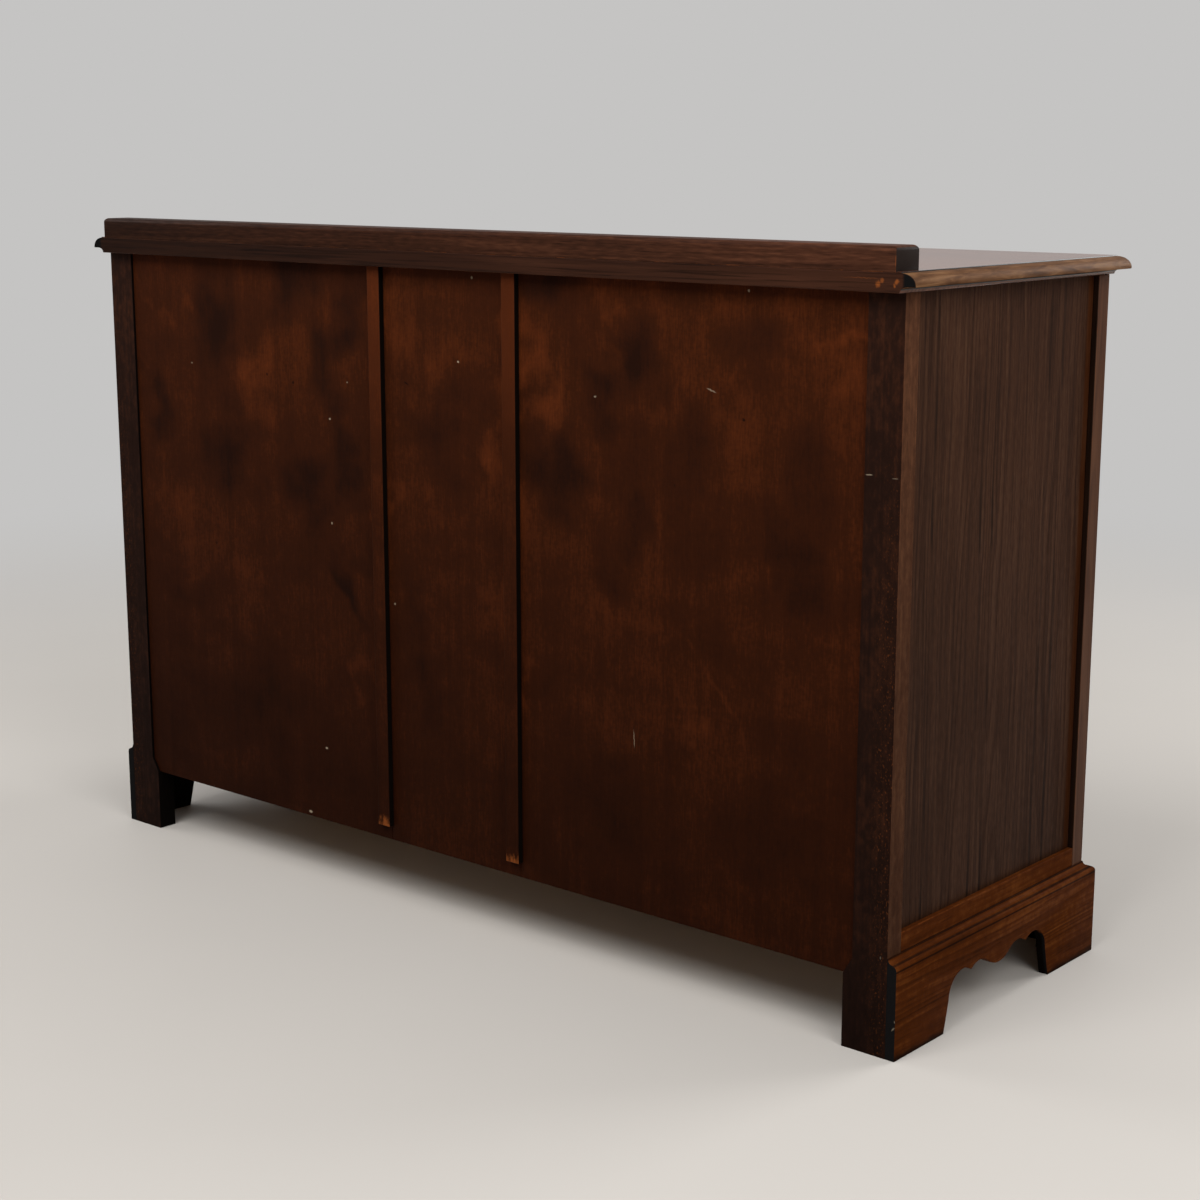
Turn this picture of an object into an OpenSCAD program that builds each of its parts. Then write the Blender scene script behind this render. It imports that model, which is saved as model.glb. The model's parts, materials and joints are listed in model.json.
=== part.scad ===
// Oak sideboard with two cupboards, five drawers and a shaped bracket plinth.
// Millimetres. +Z is up, the front faces -Y, and the origin lies on the floor under the
// middle of the top. Left and right are as seen from the front.

/* [Carcass] */
// Width over the corner posts
carcass_w = 1220; // [1120:10:1500]
// Depth over the corner posts
carcass_d = 402; // [370:2:520]
// Height of the corner posts, which is the underside of the top
carcass_h = 772; // [730:1:850]
// Width of a corner post
post_w = 42; // [34:1:55]
// Depth of a rear post
rear_post_d = 25; // [20:1:35]
// Depth of a front post
front_post_d = 23; // [21:1:32]
// How much a rear post widens at its foot
foot_step = 11; // [6:1:25]
// Height at which a rear foot begins to widen
foot_top = 98; // [90:1:105]
// Height over which a rear foot widens
foot_slope = 18; // [6:1:25]
// Height of the underside of the back sheets
back_clear = 79.5; // [65:0.5:79.5]

/* [Top] */
// Thickness of the top board
top_t = 20; // [16:1:26]
// Overhang of the top beyond the posts at each end
top_end_over = 18; // [15:1:30]
// Overhang of the top at the front
top_front_over = 28; // [18:1:45]
// Overhang of the top at the back
top_rear_over = 12; // [4:1:20]
// Height of the rounded nosing along the edge of the top
nosing_h = 14; // [8:0.2:15]
// Depth of the thin step where the nosing meets the flat of the top
nosing_quirk = 1; // [0.4:0.2:2]
// Flat soffit under the nosing
nosing_soffit = 9; // [4:0.5:9]
// Height of the rail that stands along the back of the top
upstand_h = 24; // [12:1:60]
// Depth of the rail along the back of the top
upstand_d = 40; // [18:1:50]
// How far each end of that rail stays inside the posts
upstand_inset = 4.5; // [0:0.5:20]
// Rounding of its upper edges
upstand_r = 5; // [1:0.5:8]
// Depth of the housing in the top board that holds that rail
upstand_housing = 1; // [0.5:0.5:3]

/* [Plinth] */
// Height of the plinth
plinth_h = 108; // [100:1:130]
// Thickness of the plinth at each end
plinth_end_t = 11.5; // [8:0.5:16]
// Thickness of the plinth at the front
plinth_front_t = 12; // [9:1:20]
// Height of the moulding worked on the upper edge of the plinth
plinth_mould_h = 12; // [10:1:22]
// Length of a rear bracket foot at the floor
foot_rear_l = 94; // [70:1:110]
// Length of a front bracket foot at the floor
foot_front_l = 90; // [70:1:110]
// Height of the lobes of the cut-out
lobe_h = 62; // [50:1:64]
// Radius of the outer lobe
outer_lobe_r = 27; // [22:1:30]
// Radius of the inner lobe
inner_lobe_r = 28; // [22:1:32]
// How far the cut-out spreads between its outer lobe and the floor
foot_flare = 8.5; // [2:0.5:16]
// Distance from the outer lobe's middle to the inner lobe's middle
lobe_pitch = 34; // [26:1:40]
// Depth of the pendant between the inner lobes
pendant_drop = 14; // [6:1:18]

/* [Frame and panels] */
// Height of the bottom rail that shows above the plinth
rail_show = 21; // [15:1:45]
// Thickness of the bottom rails
rail_t = 18; // [14:1:20]
// How far the bottom rails reach down behind the plinth
rail_tuck = 28; // [10:1:30]
// Thickness of the end panels
panel_t = 8; // [6:0.5:9]
// How far an end panel lies inside the outer face of its posts
panel_inset = 7; // [3:0.5:9]
// Depth of the grooves that hold a panel
groove = 6; // [3:0.5:8]
// Slack of a panel in its groove
groove_slack = 0.2; // [0.1:0.1:0.4]
// Thickness of the bottom board
base_t = 18; // [12:1:22]
// Thickness of the two upright partitions
partition_t = 18; // [14:1:22]
// Clear width between the partitions
centre_bay_w = 195; // [150:5:260]
// Height of the rails under the top
top_rail_h = 30; // [20:1:45]
// Thickness of the rear top rail
rear_rail_t = 18; // [12:1:24]
// Height of the rails between drawers and doors
mid_rail_h = 20; // [14:1:30]
// Thickness of a back sheet
sheet_t = 4; // [3:0.5:6]
// How far the back sheets lie inside the back of the posts
sheet_inset = 3; // [1:0.5:6]
// Gap between one back sheet and the next
sheet_gap = 0.5; // [0.2:0.1:4]
// Width of the battens that cover those gaps
batten_w = 20; // [12:1:35]
// Thickness of the battens
batten_t = 7.5; // [3:0.5:10]
// How far both battens sit off the gaps, towards the right end
batten_shift = 6.5; // [0:0.5:7]
// How far the battens stop short of the bottom of the sheets
batten_short = 18; // [0:1:60]

/* [Inside] */
// Thickness of the cupboard shelves
shelf_t = 16; // [12:1:22]
// Height of the shelves above the cupboard floor
shelf_up = 210; // [150:5:280]
// Width of the strips that carry shelves and drawers
bearer_w = 20; // [14:1:24]
// Height of the strips that carry the shelves
bearer_h = 15; // [10:1:25]
// Leg length of the glue blocks under the bottom board
block_leg = 30; // [16:1:40]

/* [Doors] */
// Thickness of the doors and drawer fronts
front_t = 20; // [18:1:21]
// Gap round a door or a drawer front
front_gap = 1.5; // [1:0.1:2.5]
// Gap on the hinged edge of a door
hinge_gap = 2.6; // [2.4:0.1:4]
// Width of the upright and cross members of a door
stile_w = 55; // [40:1:75]
// Thickness of a door panel in its groove
door_panel_t = 8; // [6:0.5:10]
// Flat margin round the raised field of a door panel
field_margin = 22; // [12:1:35]
// How far the field of a door panel is raised
field_rise = 4; // [2:0.5:5]

/* [Hinges] */
// Height of a hinge
hinge_h = 50; // [40:1:70]
// Width of one leaf
leaf_w = 17; // [12:1:18]
// Thickness of one leaf
leaf_t = 1.1; // [0.8:0.1:1.2]
// Radius of the hinge barrel
barrel_r = 3.2; // [2.8:0.1:4]
// Radius of the hinge pin
pin_r = 1.5; // [1:0.1:1.8]
// Distance from the end of a door to its hinge
hinge_in = 60; // [40:1:100]

/* [Drawers] */
// Height of the opening for the top drawers
top_drawer_open = 133; // [110:1:160]
// Length of a drawer box
drawer_l = 330; // [260:5:330]
// Thickness of the sides of a drawer
drawer_side_t = 10; // [8:1:14]
// Thickness of the bottom of a drawer
drawer_bottom_t = 5; // [4:0.5:6]
// How far the bottom lies above the lower edge of the sides
drawer_bottom_up = 8; // [6:1:12]
// How far a drawer box stays below the top of its opening
drawer_head = 20; // [12:1:40]
// Clearance of a drawer box at each side
drawer_clear = 1.5; // [1:0.1:3]
// Width of the bevel round a drawer front
bevel_w = 9; // [5:1:14]
// Depth of the bevel round a drawer front
bevel_d = 4; // [2:0.5:5]

/* [Knobs] */
// Radius of a knob
knob_r = 15; // [11:1:20]
// Distance that a knob stands out
knob_out = 26; // [20:1:34]
// Distance of a wide drawer's knobs from the ends of its front, as a share of its width
knob_share = 0.22; // [0.15:0.01:0.3]

/* [Hidden] */

$fn = 48;
// Thickness of a glue line, and the running gap under a drawer
glue = 0.1;
run_gap = 0.3;
// Running clearance between a hinge pin and the knuckle that turns on it
pin_clear = 0.05;
// Distance by which a cutter passes the faces that it cuts
past = 1;

half_w = carcass_w / 2;
rear_y = (carcass_d + top_rear_over + top_front_over) / 2 - top_rear_over;
front_y = rear_y - carcass_d;
inner_x = half_w - post_w;
part_in = centre_bay_w / 2;
part_out = part_in + partition_t;
sheet_back = rear_y - sheet_inset;
sheet_front = sheet_back - sheet_t;
rail_z = plinth_h - rail_tuck;
floor_z = plinth_h + rail_show;
open_top = carcass_h - top_rail_h;
drawer_z = open_top - top_drawer_open;
door_top = drawer_z - mid_rail_h;
bay_w = inner_x - part_out;
bay_mid = (inner_x + part_out) / 2;
panel_out = half_w - panel_inset;
panel_in = panel_out - panel_t;
post_back = front_y + front_post_d;
centre_open = (door_top - floor_z - mid_rail_h) / 2;
centre_z = floor_z + centre_open + mid_rail_h;
shelf_z = floor_z + shelf_up;
upstand_l = carcass_w - 2 * upstand_inset;
upstand_z = carcass_h + top_t - upstand_housing;
hinge_y = front_y - barrel_r - run_gap;
hinge_x = inner_x - hinge_gap / 2;

oak_dark = [0.15, 0.09, 0.06];
oak_warm = [0.29, 0.18, 0.12];
oak_grey = [0.26, 0.17, 0.12];
oak_top = [0.36, 0.22, 0.16];
ply_red = [0.21, 0.10, 0.05];
wood_raw = [0.62, 0.47, 0.32];
brass = [0.72, 0.55, 0.28];

// A board given by its limits along each axis
module board(x0, x1, y0, y1, z0, z1) {
    translate([x0, y0, z0]) cube([x1 - x0, y1 - y0, z1 - z0]);
}

// Mirrors what is drawn for the right end over to the left
module on_left() {
    mirror([1, 0, 0]) children();
}

// Points of a quarter ellipse about a centre, from angle a0 to a1
function arc(cx, cy, rx, ry, a0, a1, steps) =
    [for (i = [0:steps]) let (a = a0 + (a1 - a0) * i / steps) [cx + rx * cos(a), cy + ry * sin(a)]];

// Section of the top's edge: quirk, thumb nosing, flat soffit and cove
module nosing_section() {
    lip = 1;
    flat = 2;
    soffit_z = top_t - nosing_h;
    cove_w = top_end_over - nosing_soffit;
    thumb_z = soffit_z + lip;
    polygon(concat(
        [[0, 0], [0, top_t], [flat, top_t]],
        arc(flat, thumb_z, top_end_over - flat, top_t - nosing_quirk - thumb_z, 90, 0, 10),
        [[top_end_over, soffit_z]],
        arc(cove_w, 0, cove_w, soffit_z, 90, 180, 6)));
}

module top_corner() {
    translate([half_w, front_y - top_front_over + top_end_over, carcass_h])
        rotate([0, 0, -90])
            rotate_extrude(angle = 90) nosing_section();
}

module top_end_edge() {
    edge_l = carcass_d + top_rear_over + top_front_over - top_end_over;
    translate([half_w, rear_y + top_rear_over, carcass_h])
        rotate([90, 0, 0]) linear_extrude(edge_l) nosing_section();
}

module top_board() color(oak_top) difference() {
    edge_y = front_y - top_front_over + top_end_over;
    union() {
        board(-half_w, half_w, edge_y, rear_y + top_rear_over, carcass_h, carcass_h + top_t);
        translate([-half_w, edge_y, carcass_h])
            mirror([0, 1, 0]) rotate([90, 0, 90]) linear_extrude(carcass_w) nosing_section();
        top_end_edge();
        top_corner();
        on_left() top_end_edge();
        on_left() top_corner();
    }
    board(-upstand_l / 2, upstand_l / 2, rear_y + top_rear_over - upstand_d,
        rear_y + top_rear_over + past, upstand_z, carcass_h + top_t + past);
}

// A rectangle whose two upper corners are rounded
module rounded_up(w, h, r) {
    translate([-w / 2, 0]) square([w, h - r]);
    translate([-w / 2 + r, h - r]) square([w - 2 * r, r]);
    for (s = [-1, 1]) translate([s * (w / 2 - r), h - r]) circle(r);
}

module rear_upstand() color(oak_dark) {
    mid_y = rear_y + top_rear_over - upstand_d / 2;
    full_h = upstand_h + upstand_housing;
    intersection() {
        translate([0, mid_y + upstand_d / 2 + past, upstand_z])
            rotate([90, 0, 0]) linear_extrude(upstand_d + 2 * past)
                rounded_up(upstand_l, full_h, upstand_r);
        translate([-upstand_l / 2 - past, mid_y, upstand_z])
            rotate([90, 0, 90]) linear_extrude(upstand_l + 2 * past)
                rounded_up(upstand_d, full_h, upstand_r);
    }
}

// Space of an end panel with its slack, as cut into posts and rails
module panel_space() {
    board(panel_in - groove_slack, panel_out + groove_slack, post_back - groove,
        rear_y - rear_post_d + groove, floor_z - groove, carcass_h + past);
}

// A rear post, whose foot laps over the lower corner of a back sheet as it widens
module post_rear() color(oak_dark) difference() {
    translate([0, rear_y, 0]) rotate([90, 0, 0]) linear_extrude(rear_post_d)
        polygon([[half_w, 0], [half_w, carcass_h], [inner_x, carcass_h], [inner_x, foot_top],
            [inner_x - foot_step, foot_top - foot_slope], [inner_x - foot_step, 0]]);
    board(inner_x - foot_step - past, inner_x, rear_y - rear_post_d - past, sheet_back,
        back_clear, foot_top + past);
    panel_space();
}

module post_rear_right() { post_rear(); }
module post_rear_left() { on_left() post_rear(); }

module post_front() color(oak_warm) difference() {
    board(inner_x, half_w, front_y, post_back, 0, carcass_h);
    panel_space();
}

module post_front_right() { post_front(); }
module post_front_left() { on_left() post_front(); }

module side_panel() color(oak_grey) {
    board(panel_in, panel_out, post_back - groove + groove_slack,
        rear_y - rear_post_d + groove - groove_slack, floor_z - groove + groove_slack, carcass_h);
}

module side_panel_right() { side_panel(); }
module side_panel_left() { on_left() side_panel(); }

module side_rail() color(oak_warm) difference() {
    board(half_w - rail_t, half_w, post_back, rear_y - rear_post_d, rail_z, floor_z);
    panel_space();
}

module side_rail_right() { side_rail(); }
module side_rail_left() { on_left() side_rail(); }

module front_bottom_rail() color(oak_warm) {
    board(-inner_x, inner_x, front_y, front_y + rail_t, rail_z, floor_z);
}

module front_top_rail() color(oak_warm) {
    board(-inner_x, inner_x, front_y, post_back, open_top, carcass_h);
}

module rear_top_rail() color(wood_raw) {
    board(-inner_x, inner_x, sheet_front - rear_rail_t, sheet_front, open_top, carcass_h);
}

module top_cleats() color(wood_raw) for (s = [0, 1]) mirror([s, 0, 0]) {
    board(panel_in - bearer_w, panel_in, post_back, rear_y - rear_post_d, open_top, carcass_h);
}

module base_board() color(wood_raw) difference() {
    board(-half_w + rail_t, half_w - rail_t, front_y + rail_t, sheet_front, floor_z - base_t, floor_z);
    for (s = [0, 1]) mirror([s, 0, 0]) {
        board(inner_x, half_w, front_y, post_back, rail_z - past, floor_z + past);
        board(inner_x, half_w, rear_y - rear_post_d, rear_y, rail_z - past, floor_z + past);
        panel_space();
    }
}

module partition() color(oak_warm) difference() {
    board(part_in, part_out, front_y, sheet_front, floor_z, carcass_h);
    board(part_in - past, part_out + past, front_y - past, post_back, open_top, carcass_h + past);
    board(part_in - past, part_out + past, sheet_front - rear_rail_t, sheet_front + past,
        open_top, carcass_h + past);
}

module partition_right() { partition(); }
module partition_left() { on_left() partition(); }

module drawer_rail() color(oak_warm) {
    board(part_out, inner_x, front_y, post_back, door_top, drawer_z);
}

module drawer_rail_right() { drawer_rail(); }
module drawer_rail_left() { on_left() drawer_rail(); }

module centre_rails() color(oak_warm) for (z = [centre_z - mid_rail_h, door_top]) {
    board(-part_in, part_in, front_y, post_back, z, z + mid_rail_h);
}

// Strips under the wide drawers, with a guide above each outer strip
module wide_runners() color(wood_raw) for (s = [0, 1]) mirror([s, 0, 0]) {
    board(inner_x - bearer_w, panel_in, post_back, rear_y - rear_post_d, door_top, drawer_z);
    board(inner_x, panel_in, post_back, rear_y - rear_post_d, drawer_z + glue, drawer_z + mid_rail_h);
    board(part_out, part_out + bearer_w, post_back, sheet_front - rear_rail_t, door_top, drawer_z);
}

module centre_runners() color(wood_raw)
    for (z = [centre_z - mid_rail_h, door_top]) for (s = [0, 1]) mirror([s, 0, 0]) {
        board(part_in - bearer_w, part_in, post_back, sheet_front - rear_rail_t, z, z + mid_rail_h);
    }

module shelf() color(wood_raw) {
    board(part_out, panel_in, post_back + front_gap, rear_y - rear_post_d - front_gap,
        shelf_z, shelf_z + shelf_t);
}

module shelf_right() { shelf(); }
module shelf_left() { on_left() shelf(); }

module shelf_bearers() color(wood_raw) for (s = [0, 1]) mirror([s, 0, 0]) {
    board(part_out, part_out + bearer_w, post_back, rear_y - rear_post_d, shelf_z - bearer_h, shelf_z);
    board(panel_in - bearer_w, panel_in, post_back, rear_y - rear_post_d, shelf_z - bearer_h, shelf_z);
}

part_mid = (part_in + part_out) / 2;

module back_sheet(x0, x1) color(ply_red) {
    board(x0, x1, sheet_front, sheet_back, back_clear, carcass_h);
}

module back_sheet_right() { back_sheet(part_mid + sheet_gap / 2, inner_x); }
module back_sheet_centre() { back_sheet(-part_mid + sheet_gap / 2, part_mid - sheet_gap / 2); }
module back_sheet_left() { back_sheet(-inner_x, -part_mid - sheet_gap / 2); }

module back_batten(x) color(oak_dark) {
    board(x + batten_shift - batten_w / 2, x + batten_shift + batten_w / 2,
        sheet_back, sheet_back + batten_t, back_clear + batten_short, carcass_h);
}

module back_batten_right() { back_batten(part_mid); }
module back_batten_left() { back_batten(-part_mid); }

// Section of a plinth board with its moulded edge, thickness t, drawn from its back face
module plinth_section(t) {
    half_h = plinth_mould_h / 2;
    quirk = 0.8;
    rim = 1;
    step = t * 0.6;
    polygon(concat(
        [[0, 0], [0, plinth_h]],
        arc(step, plinth_h, step - rim, half_h, 180, 270, 6),
        arc(step + quirk, plinth_h - half_h - quirk - (half_h - quirk), t - step - quirk,
            half_h - quirk, 90, 0, 6),
        [[t, 0]]));
}

// Shaped cut-out of a plinth board, half_l to each side of its middle
module cutout(half_l) {
    outer_z = lobe_h - outer_lobe_r;
    inner_z = lobe_h - inner_lobe_r;
    outer_x = half_l - foot_flare - outer_lobe_r;
    inner_x2 = outer_x - lobe_pitch;
    low_z = lobe_h - pendant_drop;
    rise = low_z - inner_z;
    pendant_r = (inner_x2 * inner_x2 + rise * rise - inner_lobe_r * inner_lobe_r)
        / (2 * (inner_lobe_r - rise));
    share = inner_lobe_r / (inner_lobe_r + pendant_r);
    meet_x = inner_x2 * (1 - share);
    meet_z = inner_z + (low_z + pendant_r - inner_z) * share;
    arc_a = asin(meet_x / pendant_r);
    steps = 8;
    fill = 0.6; // Share of a lobe's radius to which the space between the lobes is filled
    difference() {
        union() {
            for (s = [-1, 1]) {
                translate([s * outer_x, outer_z]) circle(outer_lobe_r);
                translate([s * inner_x2, inner_z]) circle(inner_lobe_r);
            }
            polygon(concat(
                [[-half_l, -past], [-half_l, 0], [-outer_x - outer_lobe_r, outer_z],
                    [-outer_x, outer_z + outer_lobe_r * fill],
                    [-inner_x2, inner_z + inner_lobe_r * fill]],
                [for (i = [-steps:steps]) [pendant_r * sin(arc_a * i / steps),
                    low_z + pendant_r * (1 - cos(arc_a * i / steps))]],
                [[inner_x2, inner_z + inner_lobe_r * fill],
                    [outer_x, outer_z + outer_lobe_r * fill],
                    [outer_x + outer_lobe_r, outer_z], [half_l, 0], [half_l, -past]]));
        }
        translate([-half_l - past, -2 * lobe_h - past]) square([2 * (half_l + past), 2 * lobe_h]);
    }
}

side_cut_half = (carcass_d - foot_rear_l - foot_front_l) / 2;
side_cut_y = rear_y - foot_rear_l - side_cut_half;
front_cut_half = half_w - foot_front_l;

module plinth_side() color(oak_warm) difference() {
    translate([half_w, rear_y, 0])
        rotate([90, 0, 0]) linear_extrude(carcass_d + plinth_front_t) plinth_section(plinth_end_t);
    translate([0, 0, -past]) linear_extrude(plinth_h + 2 * past)
        polygon([[half_w, front_y], [half_w, front_y - 2 * plinth_front_t],
            [half_w + 2 * plinth_end_t, front_y - 2 * plinth_front_t]]);
    translate([half_w - past, side_cut_y, 0])
        rotate([90, 0, 90]) linear_extrude(plinth_end_t + 2 * past) cutout(side_cut_half);
}

module plinth_side_right() { plinth_side(); }
module plinth_side_left() { on_left() plinth_side(); }

module plinth_front() color(oak_warm) difference() {
    translate([-half_w - plinth_end_t, front_y, 0])
        mirror([0, 1, 0]) rotate([90, 0, 90])
            linear_extrude(carcass_w + 2 * plinth_end_t) plinth_section(plinth_front_t);
    for (s = [0, 1]) mirror([s, 0, 0])
        translate([0, 0, -past]) linear_extrude(plinth_h + 2 * past)
            polygon([[half_w, front_y], [half_w + 2 * plinth_end_t, front_y - 2 * plinth_front_t],
                [half_w + 2 * plinth_end_t, front_y + past], [half_w, front_y + past]]);
    translate([0, front_y + past, 0])
        rotate([90, 0, 0]) linear_extrude(plinth_front_t + 2 * past) cutout(front_cut_half);
}

// Square blocks glued under the bottom board, against the rails
module glue_blocks() color(wood_raw) for (s = [0, 1]) mirror([s, 0, 0]) {
    block_y = front_y + rail_t;
    side_x = half_w - rail_t - block_leg;
    side_y = rear_y - rear_post_d - block_leg;
    for (x = [inner_x - block_leg, part_mid - block_leg / 2])
        board(x, x + block_leg, block_y, block_y + block_leg, rail_z, floor_z - base_t);
    board(side_x, side_x + block_leg, side_y, side_y + block_leg, rail_z, floor_z - base_t);
}

// A drawer front in an opening w wide and h high, with a bevelled field
module drawer_front(cx, w, z, h) color(oak_warm) {
    fw = w - 2 * front_gap;
    fh = h - 2 * front_gap;
    translate([cx - fw / 2, front_y, z + front_gap]) {
        translate([0, bevel_d, 0]) cube([fw, front_t - bevel_d, fh]);
        hull() {
            translate([bevel_w, 0, bevel_w]) cube([fw - 2 * bevel_w, bevel_d, fh - 2 * bevel_w]);
            translate([bevel_w / 2, bevel_d / 2, bevel_w / 2])
                cube([fw - bevel_w, bevel_d / 2, fh - bevel_w]);
        }
    }
}

// Sides, back and bottom of a drawer for an opening w wide and h high
module drawer_box(cx, w, z, h) color(wood_raw) {
    bw = w - 2 * drawer_clear;
    bh = h - drawer_head;
    box_z = z + run_gap;
    box_y = front_y + front_t;
    groove_d = drawer_side_t / 2;
    bottom_z = box_z + drawer_bottom_up;
    back_z = bottom_z + drawer_bottom_t + glue;
    for (s = [0, 1]) translate([cx, 0, 0]) mirror([s, 0, 0]) difference() {
        board(bw / 2 - drawer_side_t, bw / 2, box_y, box_y + drawer_l, box_z, box_z + bh);
        board(bw / 2 - drawer_side_t - past, bw / 2 - drawer_side_t + groove_d, box_y - past,
            box_y + drawer_l + past, bottom_z - glue, bottom_z + drawer_bottom_t + glue);
    }
    inner = bw / 2 - drawer_side_t;
    board(cx - inner + glue, cx + inner - glue, box_y + drawer_l - drawer_side_t, box_y + drawer_l,
        back_z, box_z + bh - drawer_bottom_up);
    board(cx - inner - groove_d + glue, cx + inner + groove_d - glue, box_y, box_y + drawer_l,
        bottom_z, bottom_z + drawer_bottom_t);
}

// A turned knob on the face y = front_y, centred at x and z
module knob(x, z) color(oak_dark) {
    rose_r = knob_r * 0.62;
    rose_h = knob_out * 0.1;
    neck_r = knob_r * 0.42;
    neck_from = knob_out * 0.2;
    neck_to = knob_out * 0.36;
    cap = knob_out * 0.62;
    cap_from = -38;
    translate([x, front_y, z]) rotate([90, 0, 0]) rotate_extrude()
        polygon(concat(
            [[0, 0], [rose_r, 0], [rose_r, rose_h], [neck_r, neck_from], [neck_r, neck_to]],
            arc(0, cap, knob_r, knob_out - cap, cap_from, 90, 12)));
}

module wide_knobs(cx) {
    for (s = [-1, 1])
        knob(cx + s * bay_w * (0.5 - knob_share), drawer_z + top_drawer_open / 2);
}

module drawer_right_front() { drawer_front(bay_mid, bay_w, drawer_z, top_drawer_open); }
module drawer_right_box() { drawer_box(bay_mid, bay_w, drawer_z, top_drawer_open); }
module drawer_right_knobs() { wide_knobs(bay_mid); }
module drawer_left_front() { drawer_front(-bay_mid, bay_w, drawer_z, top_drawer_open); }
module drawer_left_box() { drawer_box(-bay_mid, bay_w, drawer_z, top_drawer_open); }
module drawer_left_knobs() { wide_knobs(-bay_mid); }
module drawer_upper_front() { drawer_front(0, centre_bay_w, drawer_z, top_drawer_open); }
module drawer_upper_box() { drawer_box(0, centre_bay_w, drawer_z, top_drawer_open); }
module drawer_upper_knob() { knob(0, drawer_z + top_drawer_open / 2); }
module drawer_middle_front() { drawer_front(0, centre_bay_w, centre_z, centre_open); }
module drawer_middle_box() { drawer_box(0, centre_bay_w, centre_z, centre_open); }
module drawer_middle_knob() { knob(0, centre_z + centre_open / 2); }
module drawer_lower_front() { drawer_front(0, centre_bay_w, floor_z, centre_open); }
module drawer_lower_box() { drawer_box(0, centre_bay_w, floor_z, centre_open); }
module drawer_lower_knob() { knob(0, floor_z + centre_open / 2); }

door_x0 = part_out + front_gap;
door_x1 = inner_x - hinge_gap;
door_z0 = floor_z + front_gap;
door_z1 = door_top - front_gap;
door_panel_y = front_y + (front_t - door_panel_t) / 2;

module door_panel_space(slack) {
    board(door_x0 + stile_w - groove - slack, door_x1 - stile_w + groove + slack,
        door_panel_y - slack, door_panel_y + door_panel_t + slack,
        door_z0 + stile_w - groove - slack, door_z1 - stile_w + groove + slack);
}

module door_frame() color(oak_warm) difference() {
    board(door_x0, door_x1, front_y, front_y + front_t, door_z0, door_z1);
    board(door_x0 + stile_w, door_x1 - stile_w, front_y - past, front_y + front_t + past,
        door_z0 + stile_w, door_z1 - stile_w);
    door_panel_space(groove_slack);
}

module door_panel() color(oak_grey) {
    m = stile_w + field_margin;
    door_panel_space(0);
    hull() {
        board(door_x0 + m, door_x1 - m, door_panel_y - field_rise, door_panel_y,
            door_z0 + m, door_z1 - m);
        board(door_x0 + m - field_rise, door_x1 - m + field_rise, door_panel_y - glue, door_panel_y,
            door_z0 + m - field_rise, door_z1 - m + field_rise);
    }
}

module door_knob() { knob(door_x0 + stile_w / 2, (door_z0 + door_z1) / 2 + stile_w); }

module door_right_frame() { door_frame(); }
module door_right_panel() { door_panel(); }
module door_right_knob() { door_knob(); }
module door_left_frame() { on_left() door_frame(); }
module door_left_panel() { on_left() door_panel(); }
module door_left_knob() { on_left() door_knob(); }

hinge_zs = [door_z0 + hinge_in, door_z1 - hinge_in - hinge_h];
knuckle_h = hinge_h / 3;

// Knuckle of the door's leaf, which turns on the pin
module door_leaf(z) {
    mid_z = z + knuckle_h + run_gap;
    mid_h = knuckle_h - 2 * run_gap;
    board(door_x1, door_x1 + leaf_t, front_y + run_gap, front_y + leaf_w, z, z + hinge_h);
    difference() {
        union() {
            translate([hinge_x, hinge_y, mid_z]) cylinder(h = mid_h, r = barrel_r);
            board(door_x1, door_x1 + leaf_t, hinge_y, front_y + 2 * run_gap, mid_z, mid_z + mid_h);
        }
        translate([hinge_x, hinge_y, z]) cylinder(h = hinge_h, r = pin_r + pin_clear);
    }
}

module post_leaf(z) {
    board(inner_x - leaf_t, inner_x, front_y + run_gap, front_y + leaf_w, z, z + hinge_h);
    translate([hinge_x, hinge_y, z]) cylinder(h = hinge_h, r = pin_r);
    for (k = [z, z + 2 * knuckle_h]) {
        translate([hinge_x, hinge_y, k]) cylinder(h = knuckle_h, r = barrel_r);
        board(inner_x - leaf_t, inner_x, hinge_y, front_y + 2 * run_gap, k, k + knuckle_h);
    }
}

module door_hinge_leaves() color(brass) { for (z = hinge_zs) door_leaf(z); }
module door_right_hinge_leaves() { door_hinge_leaves(); }
module door_left_hinge_leaves() { on_left() door_hinge_leaves(); }

module post_hinge_leaves() color(brass) for (s = [0, 1]) mirror([s, 0, 0]) {
    for (z = hinge_zs) post_leaf(z);
}

top_board();
rear_upstand();
post_rear_left();
post_rear_right();
post_front_left();
post_front_right();
side_panel_left();
side_panel_right();
side_rail_left();
side_rail_right();
front_bottom_rail();
front_top_rail();
rear_top_rail();
top_cleats();
base_board();
partition_left();
partition_right();
drawer_rail_left();
drawer_rail_right();
centre_rails();
wide_runners();
centre_runners();
shelf_left();
shelf_right();
shelf_bearers();
back_sheet_left();
back_sheet_centre();
back_sheet_right();
back_batten_left();
back_batten_right();
plinth_side_left();
plinth_side_right();
plinth_front();
glue_blocks();
drawer_left_front();
drawer_left_box();
drawer_left_knobs();
drawer_right_front();
drawer_right_box();
drawer_right_knobs();
drawer_upper_front();
drawer_upper_box();
drawer_upper_knob();
drawer_middle_front();
drawer_middle_box();
drawer_middle_knob();
drawer_lower_front();
drawer_lower_box();
drawer_lower_knob();
door_left_frame();
door_left_panel();
door_left_knob();
door_left_hinge_leaves();
door_right_frame();
door_right_panel();
door_right_knob();
door_right_hinge_leaves();
post_hinge_leaves();
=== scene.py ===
"""Finishes and fine detail of an oak sideboard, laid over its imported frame.

Metres, in the frame's own axes: +Z is up, the front faces -Y, and left and right are as seen
from the front. The camera looks at the back and the left end.
"""
import json
import math

import bmesh
import bpy
from mathutils import Euler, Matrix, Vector, noise


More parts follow.
